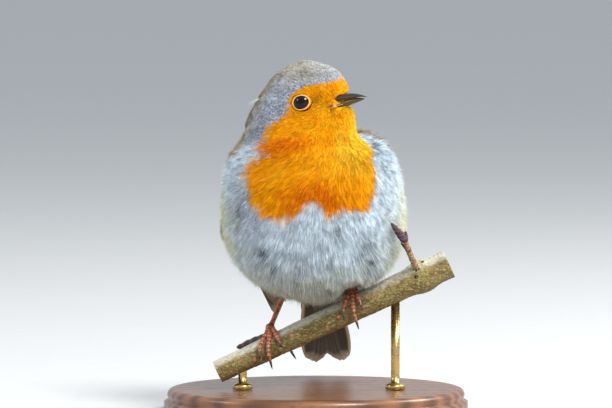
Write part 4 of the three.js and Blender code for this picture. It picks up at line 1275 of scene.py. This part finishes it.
def make_bristles(hair):
    """Fine stiff bristles at the corners of the bill and one loose feather at the nape: thin tapered
    tubes, each bent along a power of its share."""
    dice = np.random.default_rng(31)
    heap = Heap()
    t = np.linspace(0, 1, 9)
    for side in (1, -1):
        for _ in range(11):
            start = in_head(dice.uniform(11.5, 13.5), side * dice.uniform(4.4, 5.6), dice.uniform(-7.0, -4.2))
            aim = unit(AHEAD * dice.uniform(0.5, 1.2) + ASIDE * side * dice.uniform(0.3, 0.9)
                       - UPWARD * dice.uniform(0.5, 1.3))
            size = dice.uniform(2.6, 4.6)
            path = start + aim * (size * t)[:, None] - UPWARD * (0.9 * t ** 2)[:, None]
            heap.add(tube(path, 0.045 * (1 - 0.85 * t), 5, UPWARD + 0.1 * ASIDE), (0, 0, 1, 0))
    for shift in (0.0, 0.5, 1.0):
        start = np.array([-18.4, -6.5 - shift, 107.7 - 0.4 * shift])
        path = start + np.array([shift - 5.8, 0.6, 0.2]) * t[:, None] - UPWARD * (2.7 * t ** 1.4)[:, None]
        heap.add(tube(path, 0.10 * (1 - 0.8 * t), 5, UPWARD), (1, 0, 0, 0))
    heap.make("bristles", [hair], "horn")


# ---------------------------------------------------------------- perch and stand

# Breathing pores of the bark by their distance along the branch, angle from the top towards the front
# (degrees), and half length and half width (mm).
PORES = ((-8.6, 78, 0.75, 0.5), (8.6, 92, 0.7, 0.55), (-23.6, 112, 0.6, 0.6), (20.0, 62, 0.4, 0.8),
         (22.4, 66, 0.35, 0.9), (3.2, 125, 0.5, 0.5), (40.6, 118, 0.6, 0.45), (44.5, 96, 0.5, 0.4))
# Scars where leaves and buds sat, by place and angle in the same way, and their size (mm).
SCARS = ((39.2, 52, 1.15), (41.9, 30, 0.8), (38.0, 78, 0.7), (-16.6, -30, 1.0))
# Places (mm) of the side twig: its fork, a bend half way up, and each bud's start, end and radius.
FORK = np.array([30.0, -14.2, 60.2])
TWIG_BEND = (31.6, -9.5, 55.4)
BUDS = ((FORK + (0.3, 0.2, -0.8), (25.3, -18.4, 66.0), 1.35),
        (FORK + (0, 0.2, -0.8), (30.2, -15.4, 63.0), 1.0),
        (np.array([31.0, -11.0, 56.6]), (28.6, -12.8, 58.9), 0.65))


def bark_height(along, angle, radius):
    """How far the bark stands out: long shallow wrinkles, fine grain, a raised rim round each scar and
    rougher bark at the node; and masks for its pores, scars, and flecks of green."""
    spots = np.stack([along, np.cos(angle) * radius, np.sin(angle) * radius], -1)
    height = 0.10 * ripple(spots * np.array([0.35, 1, 1]), 2.6, 51) + 0.06 * ripple(spots, 1.1, 52)
    height = height + 0.035 * ripple(spots * np.array([0.6, 1, 1]), 0.45, 53)
    pores = np.zeros_like(height)
    dice = np.random.default_rng(8)
    extra = [(dice.uniform(-36, 49), dice.uniform(130, 400), dice.uniform(0.35, 0.6), dice.uniform(0.3, 0.5))
             for _ in range(16)]
    for place, degrees, long, wide in (*PORES, *extra):
        away = (angle - math.radians(degrees) + math.pi) % (2 * math.pi) - math.pi
        d = ((along - place) / long) ** 2 + (away * radius / wide) ** 2
        pores = np.maximum(pores, np.exp(-d ** 1.5))
    scar = 0
    for place, degrees, size in SCARS:
        away = (angle - math.radians(degrees) + math.pi) % (2 * math.pi) - math.pi
        ring = np.hypot(along - place, away * radius) / size
        scar = np.maximum(scar, 1 - ease((ring - 0.7) / 0.6))
        height = height + 0.22 * hill((ring - 1.3) / 0.35) - 0.15 * hill(ring)
    node = hill((along - PERCH["node"]) / 3.0)
    height = height + node * 0.10 * ripple(spots, 1.0, 54)
    fleck = node * ease((ripple(spots, 0.9, 55) - 0.2) / 0.3) * ease((np.cos(angle - 0.9) - 0.2) / 0.5)
    return height + 0.13 * pores, pores, scar, fleck


def make_perch(bark):
    """The cut branch: a long tube whose radius is the branch's plus its bark's height, with both sawn
    ends as rings down to the pith, rounded a little at the rim."""
    sides, rings, disc_rings = 128, 330, 12
    angle = circle(sides)
    length = np.linspace(PERCH["start"], PERCH["end"], rings)
    disc = np.linspace(0.05, 0.97, disc_rings)
    along = np.concatenate([np.full(disc_rings, PERCH["start"]) + 0.03, length,
                            np.full(disc_rings, PERCH["end"]) - 0.03])
    scale = np.concatenate([disc, np.ones(rings), disc[::-1]])
    scale[disc_rings] = scale[-disc_rings - 1] = 0.99
    cut = np.concatenate([np.ones(disc_rings), np.zeros(rings), np.ones(disc_rings)])
    a, f = np.meshgrid(angle, along)
    radius = perch_radius(f)
    height, pores, scar, fleck = bark_height(f, a, radius)
    flat = 1 - cut[:, None]
    grid = round_perch(f, a, (radius + height * flat) * scale[:, None])
    # Painted light: a mask for the top of the branch, where the bark is painted paler.
    top = ease((np.cos(a - 0.15) - 0.45) / 0.45)
    scar = np.where(fleck * flat > 0.4, -fleck * flat, scar * flat)
    heap = Heap()
    heap.add(grid, channels(pores * flat, scar, cut[:, None], top * flat), flip=True)
    heap.make("perch_bark", [bark], "bark", ["perch_branch"])


def bud_grid(start, end, radius, scales=5):
    """A bud: a spindle 1.05 - 0.8 t^2 round a straight middle line, wrapped in overlapping scales that
    climb it as a spiral sawtooth."""
    t = np.linspace(0, 1, 60)
    angle = circle(28)
    path = start + (end - start) * t[:, None]
    turn = (t[:, None] * scales + angle[None] / math.pi) % 1
    height = 0.16 * (1 - ease(turn / 0.9)) * radius
    profile = radius * (1.05 - 0.8 * t ** 2) * dome(60)
    grid = tube(path, profile[:, None] * (0.94 + 0 * turn) + height * dome(60)[:, None], 28, (0, -1, 0.1))
    edge = hill((turn - 0.04) / 0.07)
    return grid, channels(edge, t[:, None], 1.0)


def make_spur(twig):
    """The side twig: a crooked stem with wrinkled rings, two buds at its end and one on its side; and
    the lone bud behind the branch, a piece of its own."""
    foot = round_perch(np.array(PERCH["node"] - 0.6), 0.75, 3.4)
    path = smooth_path([foot, TWIG_BEND, FORK], 90)
    t = np.linspace(0, 1, 90)
    rings = 0.10 * np.maximum(np.sin(2 * math.pi * t * 13), 0) ** 3 + 0.12 * hill((t - 0.62) / 0.05)
    radius = (1.15 - 0.4 * t + rings + 0.25 * hill((t - 0.97) / 0.06)) * dome(90)
    heap = Heap()
    heap.add(tube(path, radius * (1 + 0.05 * ripple(path, 1.5, 61)), 24, (0, -1, 0.1)),
             channels(rings * 6, t)[:, None])
    for start, end, size in BUDS:
        heap.add(*bud_grid(start, np.array(end), size))
    heap.make("twig", [twig], "twig", ["perch_spur"])
    lone = Heap()
    start, end = round_perch(np.array(-16.0), -0.5, 3.4), round_perch(np.array(-28.0), -1.02, 8.2)
    lone.add(*bud_grid(start, end, 1.8, 4))
    lone.make("bud_behind", [twig], "twig", ["perch_bud"])


def lathe_grid(profile, sides):
    """Rings of radius and height points turned about the upright."""
    turn = circle(sides)
    r, z = np.array(profile, float).T
    return np.stack([r[:, None] * np.cos(turn), r[:, None] * np.sin(turn), z[:, None] * np.ones(sides)], -1)


def make_stand(wood, brass):
    """The round base with a small foot bevel, a groove and a rounded top edge, and two rods whose tops
    are hollowed to the underside of the branch."""
    radius, height, edge, step = BASE["radius"], BASE["height"], BASE["edge"], BASE["step"]
    shoulder = radius - step
    curve = np.linspace(0, math.pi / 2, 14)
    groove = np.linspace(0, math.pi, 9)
    profile = [(1, 0), (shoulder - 8, 0), (shoulder, 0), (radius - 0.25, step * 0.8), (radius, step * 1.15)]
    profile += [(radius, height / 2 - 0.6), (radius - 0.08, height / 2 - 0.45)]
    profile += [(shoulder + 0.35 * math.cos(a) - 0.1, height / 2 + 0.15 - 0.3 * math.cos(a))
                for a in groove[4:]]
    profile += [(shoulder - edge + edge * math.cos(a), height - edge + edge * math.sin(a)) for a in curve]
    profile += [(shoulder - edge - 6, height), (30, height), (12, height), (1, height)]
    heap = Heap()
    heap.add(lathe_grid(profile, 192) - np.array([0, PERCH_Y, 0]))
    heap.make("base_wood", [wood], "plain", ["stand_base"])
    for name in ("left", "right"):
        collar, rise = ROD["collar"], ROD["collar_height"]
        radius = ROD["radius"]
        rings = [(0.3, 0), (collar - 0.15, 0), (collar, 0.15), (collar, rise * 0.5),
                 (collar - 0.2, rise * 0.68), (radius + 0.55, rise * 0.92), (radius + 0.35, rise),
                 (radius, rise + 0.02), (radius, 5.0), (radius, 9.0)]
        grid = lathe_grid(rings, 48)
        grid = grid + np.array([ROD[name], 0, BASE["height"] + GAP])
        rim = grid[-1:].copy()
        under = PERCH["height"] + rim[..., 0] * math.tan(PERCH["slope"])
        girth = perch_radius(rim[..., 0] / math.cos(PERCH["slope"]))
        rim[..., 2] = under - np.sqrt(girth ** 2 - rim[..., 1] ** 2) / math.cos(PERCH["slope"]) - 0.02
        middle = rim.mean(1, keepdims=True)
        top = middle + (rim - middle) * 0.1
        top[..., 2] = middle[..., 2] - 0.3
        heap = Heap()
        heap.add(np.concatenate([grid, rim, top]))
        heap.make("rod_" + name, [brass], "plain", ["stand_rod_" + name])


# ---------------------------------------------------------------- materials


def srgb(r, g, b):
    """A colour of 0 to 255 screen values as linear light, opaque."""
    linear = [c / 255 / 12.92 if c <= 10 else ((c / 255 + 0.055) / 1.055) ** 2.4 for c in (r, g, b)]
    return (*linear, 1.0)


def fill(tree, node, inputs):
    """Sets or links a node's inputs by name or number."""
    for key, value in inputs.items():
        if isinstance(value, bpy.types.NodeSocket):
            tree.links.new(value, node.inputs[key])
        else:
            node.inputs[key].default_value = value


def put(tree, kind, inputs=None, **settings):
    """Adds a node, sets its settings, and fills its inputs. Gives the node."""
    node = tree.nodes.new(kind)
    for key, value in settings.items():
        setattr(node, key, value)
    fill(tree, node, inputs or {})
    return node


def mix(tree, share, a, b, blend="MIX"):
    """Colour a where the share is 0, b where it is 1."""
    return put(tree, "ShaderNodeMix", {0: share, 6: a, 7: b}, data_type="RGBA", blend_type=blend).outputs[2]


def sums(tree, kind, a, b=0.0, c=0.0):
    """A sum of up to three numbers, of the kind that the node's operation names."""
    return put(tree, "ShaderNodeMath", {0: a, 1: b, 2: c}, operation=kind).outputs[0]


def spread(tree, value, low, high, to_low=0.0, to_high=1.0):
    """Carries low..high smoothly to to_low..to_high and holds outside."""
    return put(tree, "ShaderNodeMapRange", {0: value, 1: low, 2: high, 3: to_low, 4: to_high},
               interpolation_type="SMOOTHSTEP").outputs[0]


def noise(tree, where, scale, detail=3.0, roughness=0.55):
    """Cloudy noise from 0 to 1 whose lumps are about 1 / scale metres wide."""
    return put(tree, "ShaderNodeTexNoise", {"Vector": where, "Scale": scale, "Detail": detail,
                                            "Roughness": roughness}).outputs[0]


def new_group(name, inputs, outputs):
    """An empty node group with typed sockets. Returns the group, its input node and its output node."""
    group = bpy.data.node_groups.new(name, "ShaderNodeTree")
    for key, kind in inputs:
        group.interface.new_socket(name=key, in_out="INPUT", socket_type=kind)
    for key, kind in outputs:
        group.interface.new_socket(name=key, in_out="OUTPUT", socket_type=kind)
    return group, group.nodes.new("NodeGroupInput").outputs, group.nodes.new("NodeGroupOutput").inputs


class Finish:
    """A material with a Principled shader whose plain values are set on its own sockets, and the nodes
    that paint it: the object's own place, and a piece's values as red, green, blue and alpha."""

    def __init__(self, name, roughness, specular, values=None, **settings):
        """`values` names the piece's values that the finish reads, and settings are more shader inputs."""
        self.material = bpy.data.materials.new(name)
        self.material.use_nodes = True
        self.tree = self.material.node_tree
        self.shader = self.tree.nodes["Principled BSDF"].inputs
        self.shader["Roughness"].default_value = roughness
        self.shader["Specular IOR Level"].default_value = specular
        for key, value in settings.items():
            self.shader[key.replace("_", " ").title()].default_value = value
        self.where = place(self.tree)
        if values:
            self.values, self.alpha = attribute(self.tree, values)
            self.red, self.green, self.blue = parts(self.tree, self.values)

    def noise(self, scale, stretch=None):
        """Noise over the piece, its place turned and stretched first if that is asked for."""
        where = self.where
        if stretch:
            where = put(self.tree, "ShaderNodeMapping", {"Vector": where, **stretch}).outputs[0]
        return noise(self.tree, where, scale)

    def between(self, mask, low, high, under, over, share=1.0):
        """The colour `over` laid on the colour `under` by a share that grows as the mask goes from low
        to high."""
        return mix(self.tree, spread(self.tree, mask, low, high, 0.0, share), under, over)

    def done(self, colour, height=None, strength=0.5, distance=0.0002, roughness=None):
        """Links the colour, the relief and the roughness, and gives the material."""
        self.tree.links.new(colour, self.shader["Base Color"])
        if height is not None:
            relief = put(self.tree, "ShaderNodeBump",
                         {"Height": height, "Strength": strength, "Distance": distance}).outputs[0]
            self.tree.links.new(relief, self.shader["Normal"])
        if roughness is not None:
            self.tree.links.new(roughness, self.shader["Roughness"])
        return self.material


def place(tree):
    """The place in the object's own frame, in metres."""
    return put(tree, "ShaderNodeTexCoord").outputs["Object"]


def attribute(tree, name):
    """Colour and alpha of a piece's own values."""
    outputs = put(tree, "ShaderNodeAttribute", attribute_name=name).outputs
    return outputs["Color"], outputs["Alpha"]


def parts(tree, colour):
    """Red, green and blue of a colour."""
    return put(tree, "ShaderNodeSeparateColor", {0: colour}).outputs[:3]


ORANGE = srgb(255, 168, 4)
ORANGE_DEEP = srgb(232, 114, 0)
ORANGE_PALE = srgb(255, 212, 50)
OLIVE = srgb(188, 172, 146)
# Buff of the flanks, also used for the painted shade and painted green reflection on the lower belly.
BUFF = srgb(214, 212, 168)
BELLY = srgb(228, 242, 252)
# Painted shade at the roots: how bright a barb's root is against its tip.
UNDER_SHADE = 0.34  # brightness of a barb's root against its tip


def plumage_group():
    """Colour of skin and coat: white, then buff, slate, olive and orange laid over each other by their
    shares; roots, the face, the neck and partings carry painted shade, and each feather and barb is a little
    lighter or darker."""
    group, given, result = new_group(
        "plumage_colour", [("Marks", "NodeSocketColor"), ("Buff", "NodeSocketFloat"),
                           ("Barb", "NodeSocketColor"), ("Painted_Shade", "NodeSocketFloat")],
        [("Colour", "NodeSocketColor")])
    where = place(group)
    red, green, blue = parts(group, given["Marks"])
    along, chance, hair = parts(group, given["Barb"])
    cloudy = noise(group, where, 260.0)
    fine = noise(group, where, 1500.0, 2.0)
    white = mix(group, spread(group, cloudy, 0.40, 0.66, 0.0, 0.75), BELLY, srgb(184, 199, 212))
    colour = mix(group, given["Buff"], white, BUFF)
    slate = mix(group, spread(group, fine, 0.38, 0.62), srgb(138, 148, 168), srgb(212, 215, 226))
    colour = mix(group, blue, colour, slate)
    olive = mix(group, spread(group, cloudy, 0.35, 0.7), OLIVE, srgb(142, 128, 104))
    olive = mix(group, spread(group, fine, 0.52, 0.68, 0.0, 0.6), olive, srgb(96, 84, 62))
    olive = mix(group, spread(group, hair, 0.72, 0.95, 0.0, 0.7), olive, srgb(214, 206, 190))
    colour = mix(group, green, colour, olive)
    # The orange's tone: deep for its painted shade, pale for its painted light.
    orange = mix(group, spread(group, given["Buff"], 0.0, 0.5), ORANGE_DEEP, ORANGE)
    orange = mix(group, spread(group, given["Buff"], 0.45, 1.0), orange, ORANGE_PALE)
    orange = mix(group, spread(group, cloudy, 0.45, 0.75, 0.0, 0.45), orange, ORANGE_DEEP)
    orange = mix(group, spread(group, hair, 0.6, 1.0, 0.0, 0.55), orange, ORANGE_PALE)
    colour = mix(group, red, colour, orange)
    # Colour of the painted shade on the face, the neck and parted feathers: dark brown in the orange, dark
    # slate elsewhere.
    dark = mix(group, red, srgb(62, 66, 74), srgb(74, 38, 14))
    colour = mix(group, given["Painted_Shade"], colour, dark)
    # Painted shade: each barb darkens towards its root, less so in the orange.
    low = sums(group, "MULTIPLY_ADD", red, 0.22, UNDER_SHADE)
    root_shade = put(group, "ShaderNodeMapRange", {0: along, 1: 0.0, 2: 0.7, 3: low, 4: 1.0},
                 interpolation_type="SMOOTHSTEP").outputs[0]
    value = sums(group, "MULTIPLY", root_shade, spread(group, chance, 0.0, 1.0, 0.80, 1.12))
    value = sums(group, "MULTIPLY", value, spread(group, hair, 0.1, 0.85, 0.60, 1.16))
    grey = put(group, "ShaderNodeCombineColor", {0: value, 1: value, 2: value}).outputs[0]
    group.links.new(mix(group, 1.0, colour, grey, "MULTIPLY"), result["Colour"])
    return group


def plumage_finish(group, name, roughness, specular, barb=None):
    """A finish that lays the plumage's colours: by each barb's own values on the coat, or by one plain
    set of them, under a fine relief, on the skin, which that set darkens as painted shade."""
    plumage = Finish(name, roughness, specular, "marks")
    values, shade = (barb, 0.0) if barb else attribute(plumage.tree, "barb")
    colour = put(plumage.tree, "ShaderNodeGroup", node_tree=group)
    fill(plumage.tree, colour, {"Marks": plumage.values, "Buff": plumage.alpha, "Barb": values,
                                "Painted_Shade": shade})
    return plumage.done(colour.outputs[0], plumage.noise(1500.0) if barb else None, 0.6, 0.0004)


def leg_finish():
    """Red brown scales with a painted highlight where a shield stands out on the upper side, and dark between
    the shields.
    """
    leg = Finish("leg_skin", 0.26, 0.6, "marks")
    colour = leg.between(leg.noise(420.0), 0.35, 0.65, srgb(120, 58, 26), srgb(168, 92, 50))
    # Painted highlight on the upper side of each shield.
    colour = leg.between(leg.red, 0.50, 0.95, colour, srgb(230, 176, 150), 0.30)
    colour = leg.between(leg.red, 0.25, 0.02, colour, srgb(84, 34, 20), 0.30)
    return leg.done(colour, leg.noise(1900.0), 0.35)


def lid_finish():
    """A pale yellow rim whose outer wall is orange as the feathers are."""
    lid = Finish("lid_skin", 0.55, 0.3, "marks")
    fine = lid.noise(2600.0)
    rim = lid.between(fine, 0.35, 0.7, srgb(232, 168, 66), srgb(250, 208, 124))
    return lid.done(mix(lid.tree, lid.red, rim, srgb(214, 104, 4)), fine)


def horn_finish():
    """Black brown bill with an orange cutting edge that fades to the tip; claws are browner at the root."""
    horn = Finish("horn", 0.22, 0.6, "horn", coat_weight=0.6)
    streak = horn.noise(1400.0)
    bill = horn.between(streak, 0.3, 0.75, srgb(20, 16, 17), srgb(44, 37, 38))
    edge = sums(horn.tree, "MULTIPLY", horn.red, spread(horn.tree, horn.green, 0.25, 0.9, 1.0, 0.1))
    bill = mix(horn.tree, edge, bill, srgb(255, 176, 54))
    nail = horn.between(horn.green, 0.0, 0.7, srgb(120, 74, 52), srgb(46, 36, 34))
    return horn.done(mix(horn.tree, horn.blue, bill, nail), streak, 0.2)


def eye_finish():
    """A black pupil, a very dark brown iris and a black rim, by the distance from the eye's axis."""
    eye = Finish("eye_glass", 0.03, 0.28, "iris")
    brown = mix(eye.tree, eye.noise(2400.0), srgb(16, 9, 7), srgb(30, 17, 12))
    colour = eye.between(eye.red, 1.5, 1.62, srgb(4, 3, 4), brown)
    return eye.done(eye.between(eye.red, 2.25, 2.4, colour, srgb(8, 5, 5)))


def vane_finish():
    """Brown webs, each feather a little lighter or, below 0, darker as painted shade, with a dark shaft and
    pale edges.
    """
    vane = Finish("flight_feather", 0.62, 0.25, "vane", sheen_weight=0.1)
    tree, across, along = vane.tree, vane.red, vane.green
    off_shaft = sums(tree, "ABSOLUTE", across)
    rim = sums(tree, "MULTIPLY", spread(tree, off_shaft, 0.42, 0.85), vane.alpha)
    tip = sums(tree, "MULTIPLY_ADD", vane.alpha, 0.45, 0.5)
    rim = sums(tree, "MAXIMUM", rim, sums(tree, "MULTIPLY", spread(tree, along, 0.90, 0.97), tip))
    web = vane.between(vane.noise(500.0), 0.3, 0.7, srgb(74, 62, 46), srgb(102, 86, 64))
    web = vane.between(vane.blue, 0.2, 1.0, web, srgb(112, 97, 74), 0.5)
    # Painted shade: feathers whose chance is below 0, the tail's, are darkened.
    web = vane.between(vane.blue, -0.2, -1.0, web, srgb(62, 52, 38))
    web = mix(tree, spread(tree, off_shaft, 0.0, 0.06, 0.6, 0.0), web, srgb(66, 50, 38))
    barbs = sums(tree, "SINE", sums(tree, "MULTIPLY_ADD", along, 420.0, sums(tree, "MULTIPLY", across, 26.0)))
    return vane.done(mix(tree, rim, web, srgb(216, 192, 158)), barbs, 0.35, 0.00008)


def bark_finish():
    """Olive brown bark with a painted light on top, orange pores, dark scars, flecks of green and sawn ends.
    """
    bark = Finish("bark", 0.68, 0.3, "bark")
    lengthwise = {"Rotation": (0.0, PERCH["slope"], 0.0), "Scale": (0.45, 1.0, 1.0)}
    broad, fine, speck = [bark.noise(size, lengthwise) for size in (300.0, 1500.0, 3400.0)]
    colour = bark.between(broad, 0.3, 0.7, srgb(104, 88, 48), srgb(138, 120, 74))
    colour = bark.between(fine, 0.5, 0.66, colour, srgb(176, 160, 106), 0.8)
    colour = bark.between(speck, 0.52, 0.62, colour, srgb(62, 50, 28), 0.8)
    # Painted light on the top of the branch.
    painted_top_light = sums(bark.tree, "MULTIPLY", bark.alpha, spread(bark.tree, fine, 0.3, 0.6, 0.45, 0.95))
    colour = mix(bark.tree, painted_top_light, colour, srgb(204, 200, 184))
    colour = bark.between(bark.red, 0.0, 1.0, colour, srgb(214, 122, 84), 0.85)
    colour = bark.between(bark.green, 0.2, 0.8, colour, srgb(34, 28, 20))
    colour = bark.between(bark.green, -0.2, -0.6, colour, srgb(142, 144, 74))
    rings = put(bark.tree, "ShaderNodeTexWave",
                {"Vector": bark.where, "Scale": 260.0, "Distortion": 3.0, "Detail": 2.0},
                wave_type="RINGS", rings_direction="X").outputs["Color"]
    sawn = mix(bark.tree, parts(bark.tree, rings)[0], srgb(222, 198, 150), srgb(190, 158, 108))
    return bark.done(mix(bark.tree, bark.blue, colour, sawn), sums(bark.tree, "ADD", fine, speck))


def twig_finish():
    """Pinkish brown stem with dark rings, and plum buds whose scales have pale edges."""
    twig = Finish("twig", 0.6, 0.35, "twig")
    fine = twig.noise(1500.0)
    stem = twig.between(fine, 0.35, 0.7, srgb(112, 84, 64), srgb(206, 172, 132))
    scales = twig.between(fine, 0.3, 0.7, srgb(50, 34, 44), srgb(84, 58, 70))
    stem = mix(twig.tree, twig.red, stem, srgb(74, 50, 44))
    scales = mix(twig.tree, twig.red, scales, srgb(150, 120, 104))
    return twig.done(mix(twig.tree, twig.blue, stem, scales), fine)


def wood_finish():
    """Stained wood: wandering bands of grain and fine dark pores."""
    wood = Finish("base_wood", 0.38, 0.4, coat_weight=0.3, coat_roughness=0.25)
    where = put(wood.tree, "ShaderNodeMapping", {"Vector": wood.where, "Scale": (1.0, 9.0, 9.0)}).outputs[0]
    bands = put(wood.tree, "ShaderNodeTexWave",
                {"Vector": where, "Scale": 4.5, "Distortion": 7.0, "Detail": 3.0, "Detail Scale": 1.2},
                bands_direction="Y").outputs["Fac"]
    pores = wood.noise(2600.0, {"Scale": (0.12, 1.0, 1.0)})
    colour = mix(wood.tree, bands, srgb(92, 58, 36), srgb(134, 90, 58))
    colour = wood.between(pores, 0.58, 0.7, colour, srgb(54, 32, 20), 0.6)
    return wood.done(colour, pores, 0.15, roughness=spread(wood.tree, pores, 0.4, 0.8, 0.32, 0.5))


def brass_finish():
    """Turned metal with fine rings of tool marks."""
    brass = Finish("brass", 0.28, 0.5, metallic=1.0)
    turned = brass.noise(5200.0, {"Scale": (0.1, 0.1, 1.0)})
    return brass.done(brass.between(turned, 0.3, 0.7, srgb(186, 152, 88), srgb(214, 184, 118)),
                      roughness=spread(brass.tree, turned, 0.3, 0.7, 0.22, 0.36))


def make_materials():
    """All finishes by name."""
    group = plumage_group()
    bristle = Finish("bristle", 0.5, 0.3, "horn")
    paper = Finish("studio_paper", 0.85, 0.2)
    return {"coat": plumage_finish(group, "feather_coat", 0.85, 0.05),
            # The skin reads as a barb part way to its root, so it carries painted shade where it shows.
            "skin": plumage_finish(group, "feathered_skin", 0.9, 0.1, (0.42, 0.5, 0.5, 1.0)),
            "leg": leg_finish(), "lid": lid_finish(), "horn": horn_finish(), "eye": eye_finish(),
            "bristle": bristle.done(mix(bristle.tree, bristle.red, srgb(38, 26, 22), srgb(214, 214, 206))),
            "vane": vane_finish(), "bark": bark_finish(), "twig": twig_finish(), "wood": wood_finish(),
            "brass": brass_finish(),
            "paper": paper.done(mix(paper.tree, paper.noise(90.0), srgb(194, 195, 195), srgb(200, 200, 200)))}


# ---------------------------------------------------------------- studio

VIEW_AIM = np.array([-3.4, 0.0, 71.4])  # the middle of the view, in the perch's frame
VIEW_DISTANCE = 1730.0
VIEW_HEIGHT = math.radians(3.0)
VIEW_WIDTH = 208.08  # width of the view at the perch
SENSOR = 36.0
FLOOR = 30000  # half the side of the paper floor, in millimetres
LAMP_AIM = Vector((0, 0, 0.07))
# Lamps: name, place (mm), diameter (mm), power (W) and tint.
LAMPS = (("key", (560, -960, 1150), 520, 27.0, (1.0, 0.985, 0.95)),
         ("side", (-1200, -150, 700), 360, 4.0, (0.93, 0.96, 1.0)),
         ("rim", (1000, 250, 900), 500, 13.0, (1.0, 0.99, 0.97)))


def place_holder(name, data, spot, aim):
    """An object that holds a lamp or the camera at a place, turned to look along `aim`."""
    holder = bpy.data.objects.new(name, data)
    holder.location = spot
    holder.rotation_euler = aim.to_track_quat("-Z", "Y").to_euler()
    bpy.context.scene.collection.objects.link(holder)
    return holder


def make_studio(paper):
    """A pale paper floor out to the horizon, one large soft light from the upper right, weaker ones from
    the left and above, and the camera a little over level, on the bird's front."""
    x, y = np.meshgrid(np.linspace(-FLOOR, FLOOR, 9), np.linspace(-FLOOR, FLOOR, 9))
    make_piece("studio_floor", np.stack([x, y, 0 * x], -1).reshape(-1, 3),
                        grid_faces(9, 9, wrap=False), [paper])
    for name, spot, size, power, tint in LAMPS:
        lamp = bpy.data.lights.new(name, "AREA")
        lamp.shape = "DISK"
        lamp.size = size * MM
        lamp.energy = power
        lamp.color = tint
        place_holder(name, lamp, Vector(spot) * MM, LAMP_AIM - Vector(spot) * MM)
    world = bpy.data.worlds.new("studio")
    world.use_nodes = True
    world.node_tree.nodes["Background"].inputs["Color"].default_value = (0.80, 0.86, 0.92, 1.0)
    world.node_tree.nodes["Background"].inputs["Strength"].default_value = 0.80
    bpy.context.scene.world = world
    bpy.context.scene.view_settings.view_transform = "Standard"
    camera = bpy.data.cameras.new("camera")
    camera.sensor_width = SENSOR
    camera.lens = SENSOR * VIEW_DISTANCE / VIEW_WIDTH
    camera.clip_start, camera.clip_end = 0.05, 20.0
    back = np.array([0.0, -math.cos(VIEW_HEIGHT), math.sin(VIEW_HEIGHT)])
    spot = (VIEW_AIM + np.array([0, PERCH_Y, 0]) + back * VIEW_DISTANCE) * MM
    bpy.context.scene.camera = place_holder("camera", camera, Vector(spot), Vector(-back))


# ---------------------------------------------------------------- assembly

finish = make_materials()
make_studio(finish["paper"])
make_skin(finish["skin"], finish["leg"], finish["lid"])
make_bill(finish["horn"])
make_eyes(finish["eye"])
make_claws(finish["horn"])
make_bristles(finish["bristle"])
make_wings(finish["vane"])
make_tail(finish["vane"])
make_perch(finish["bark"])
make_spur(finish["twig"])
make_stand(finish["wood"], finish["brass"])
make_coat(finish["coat"])
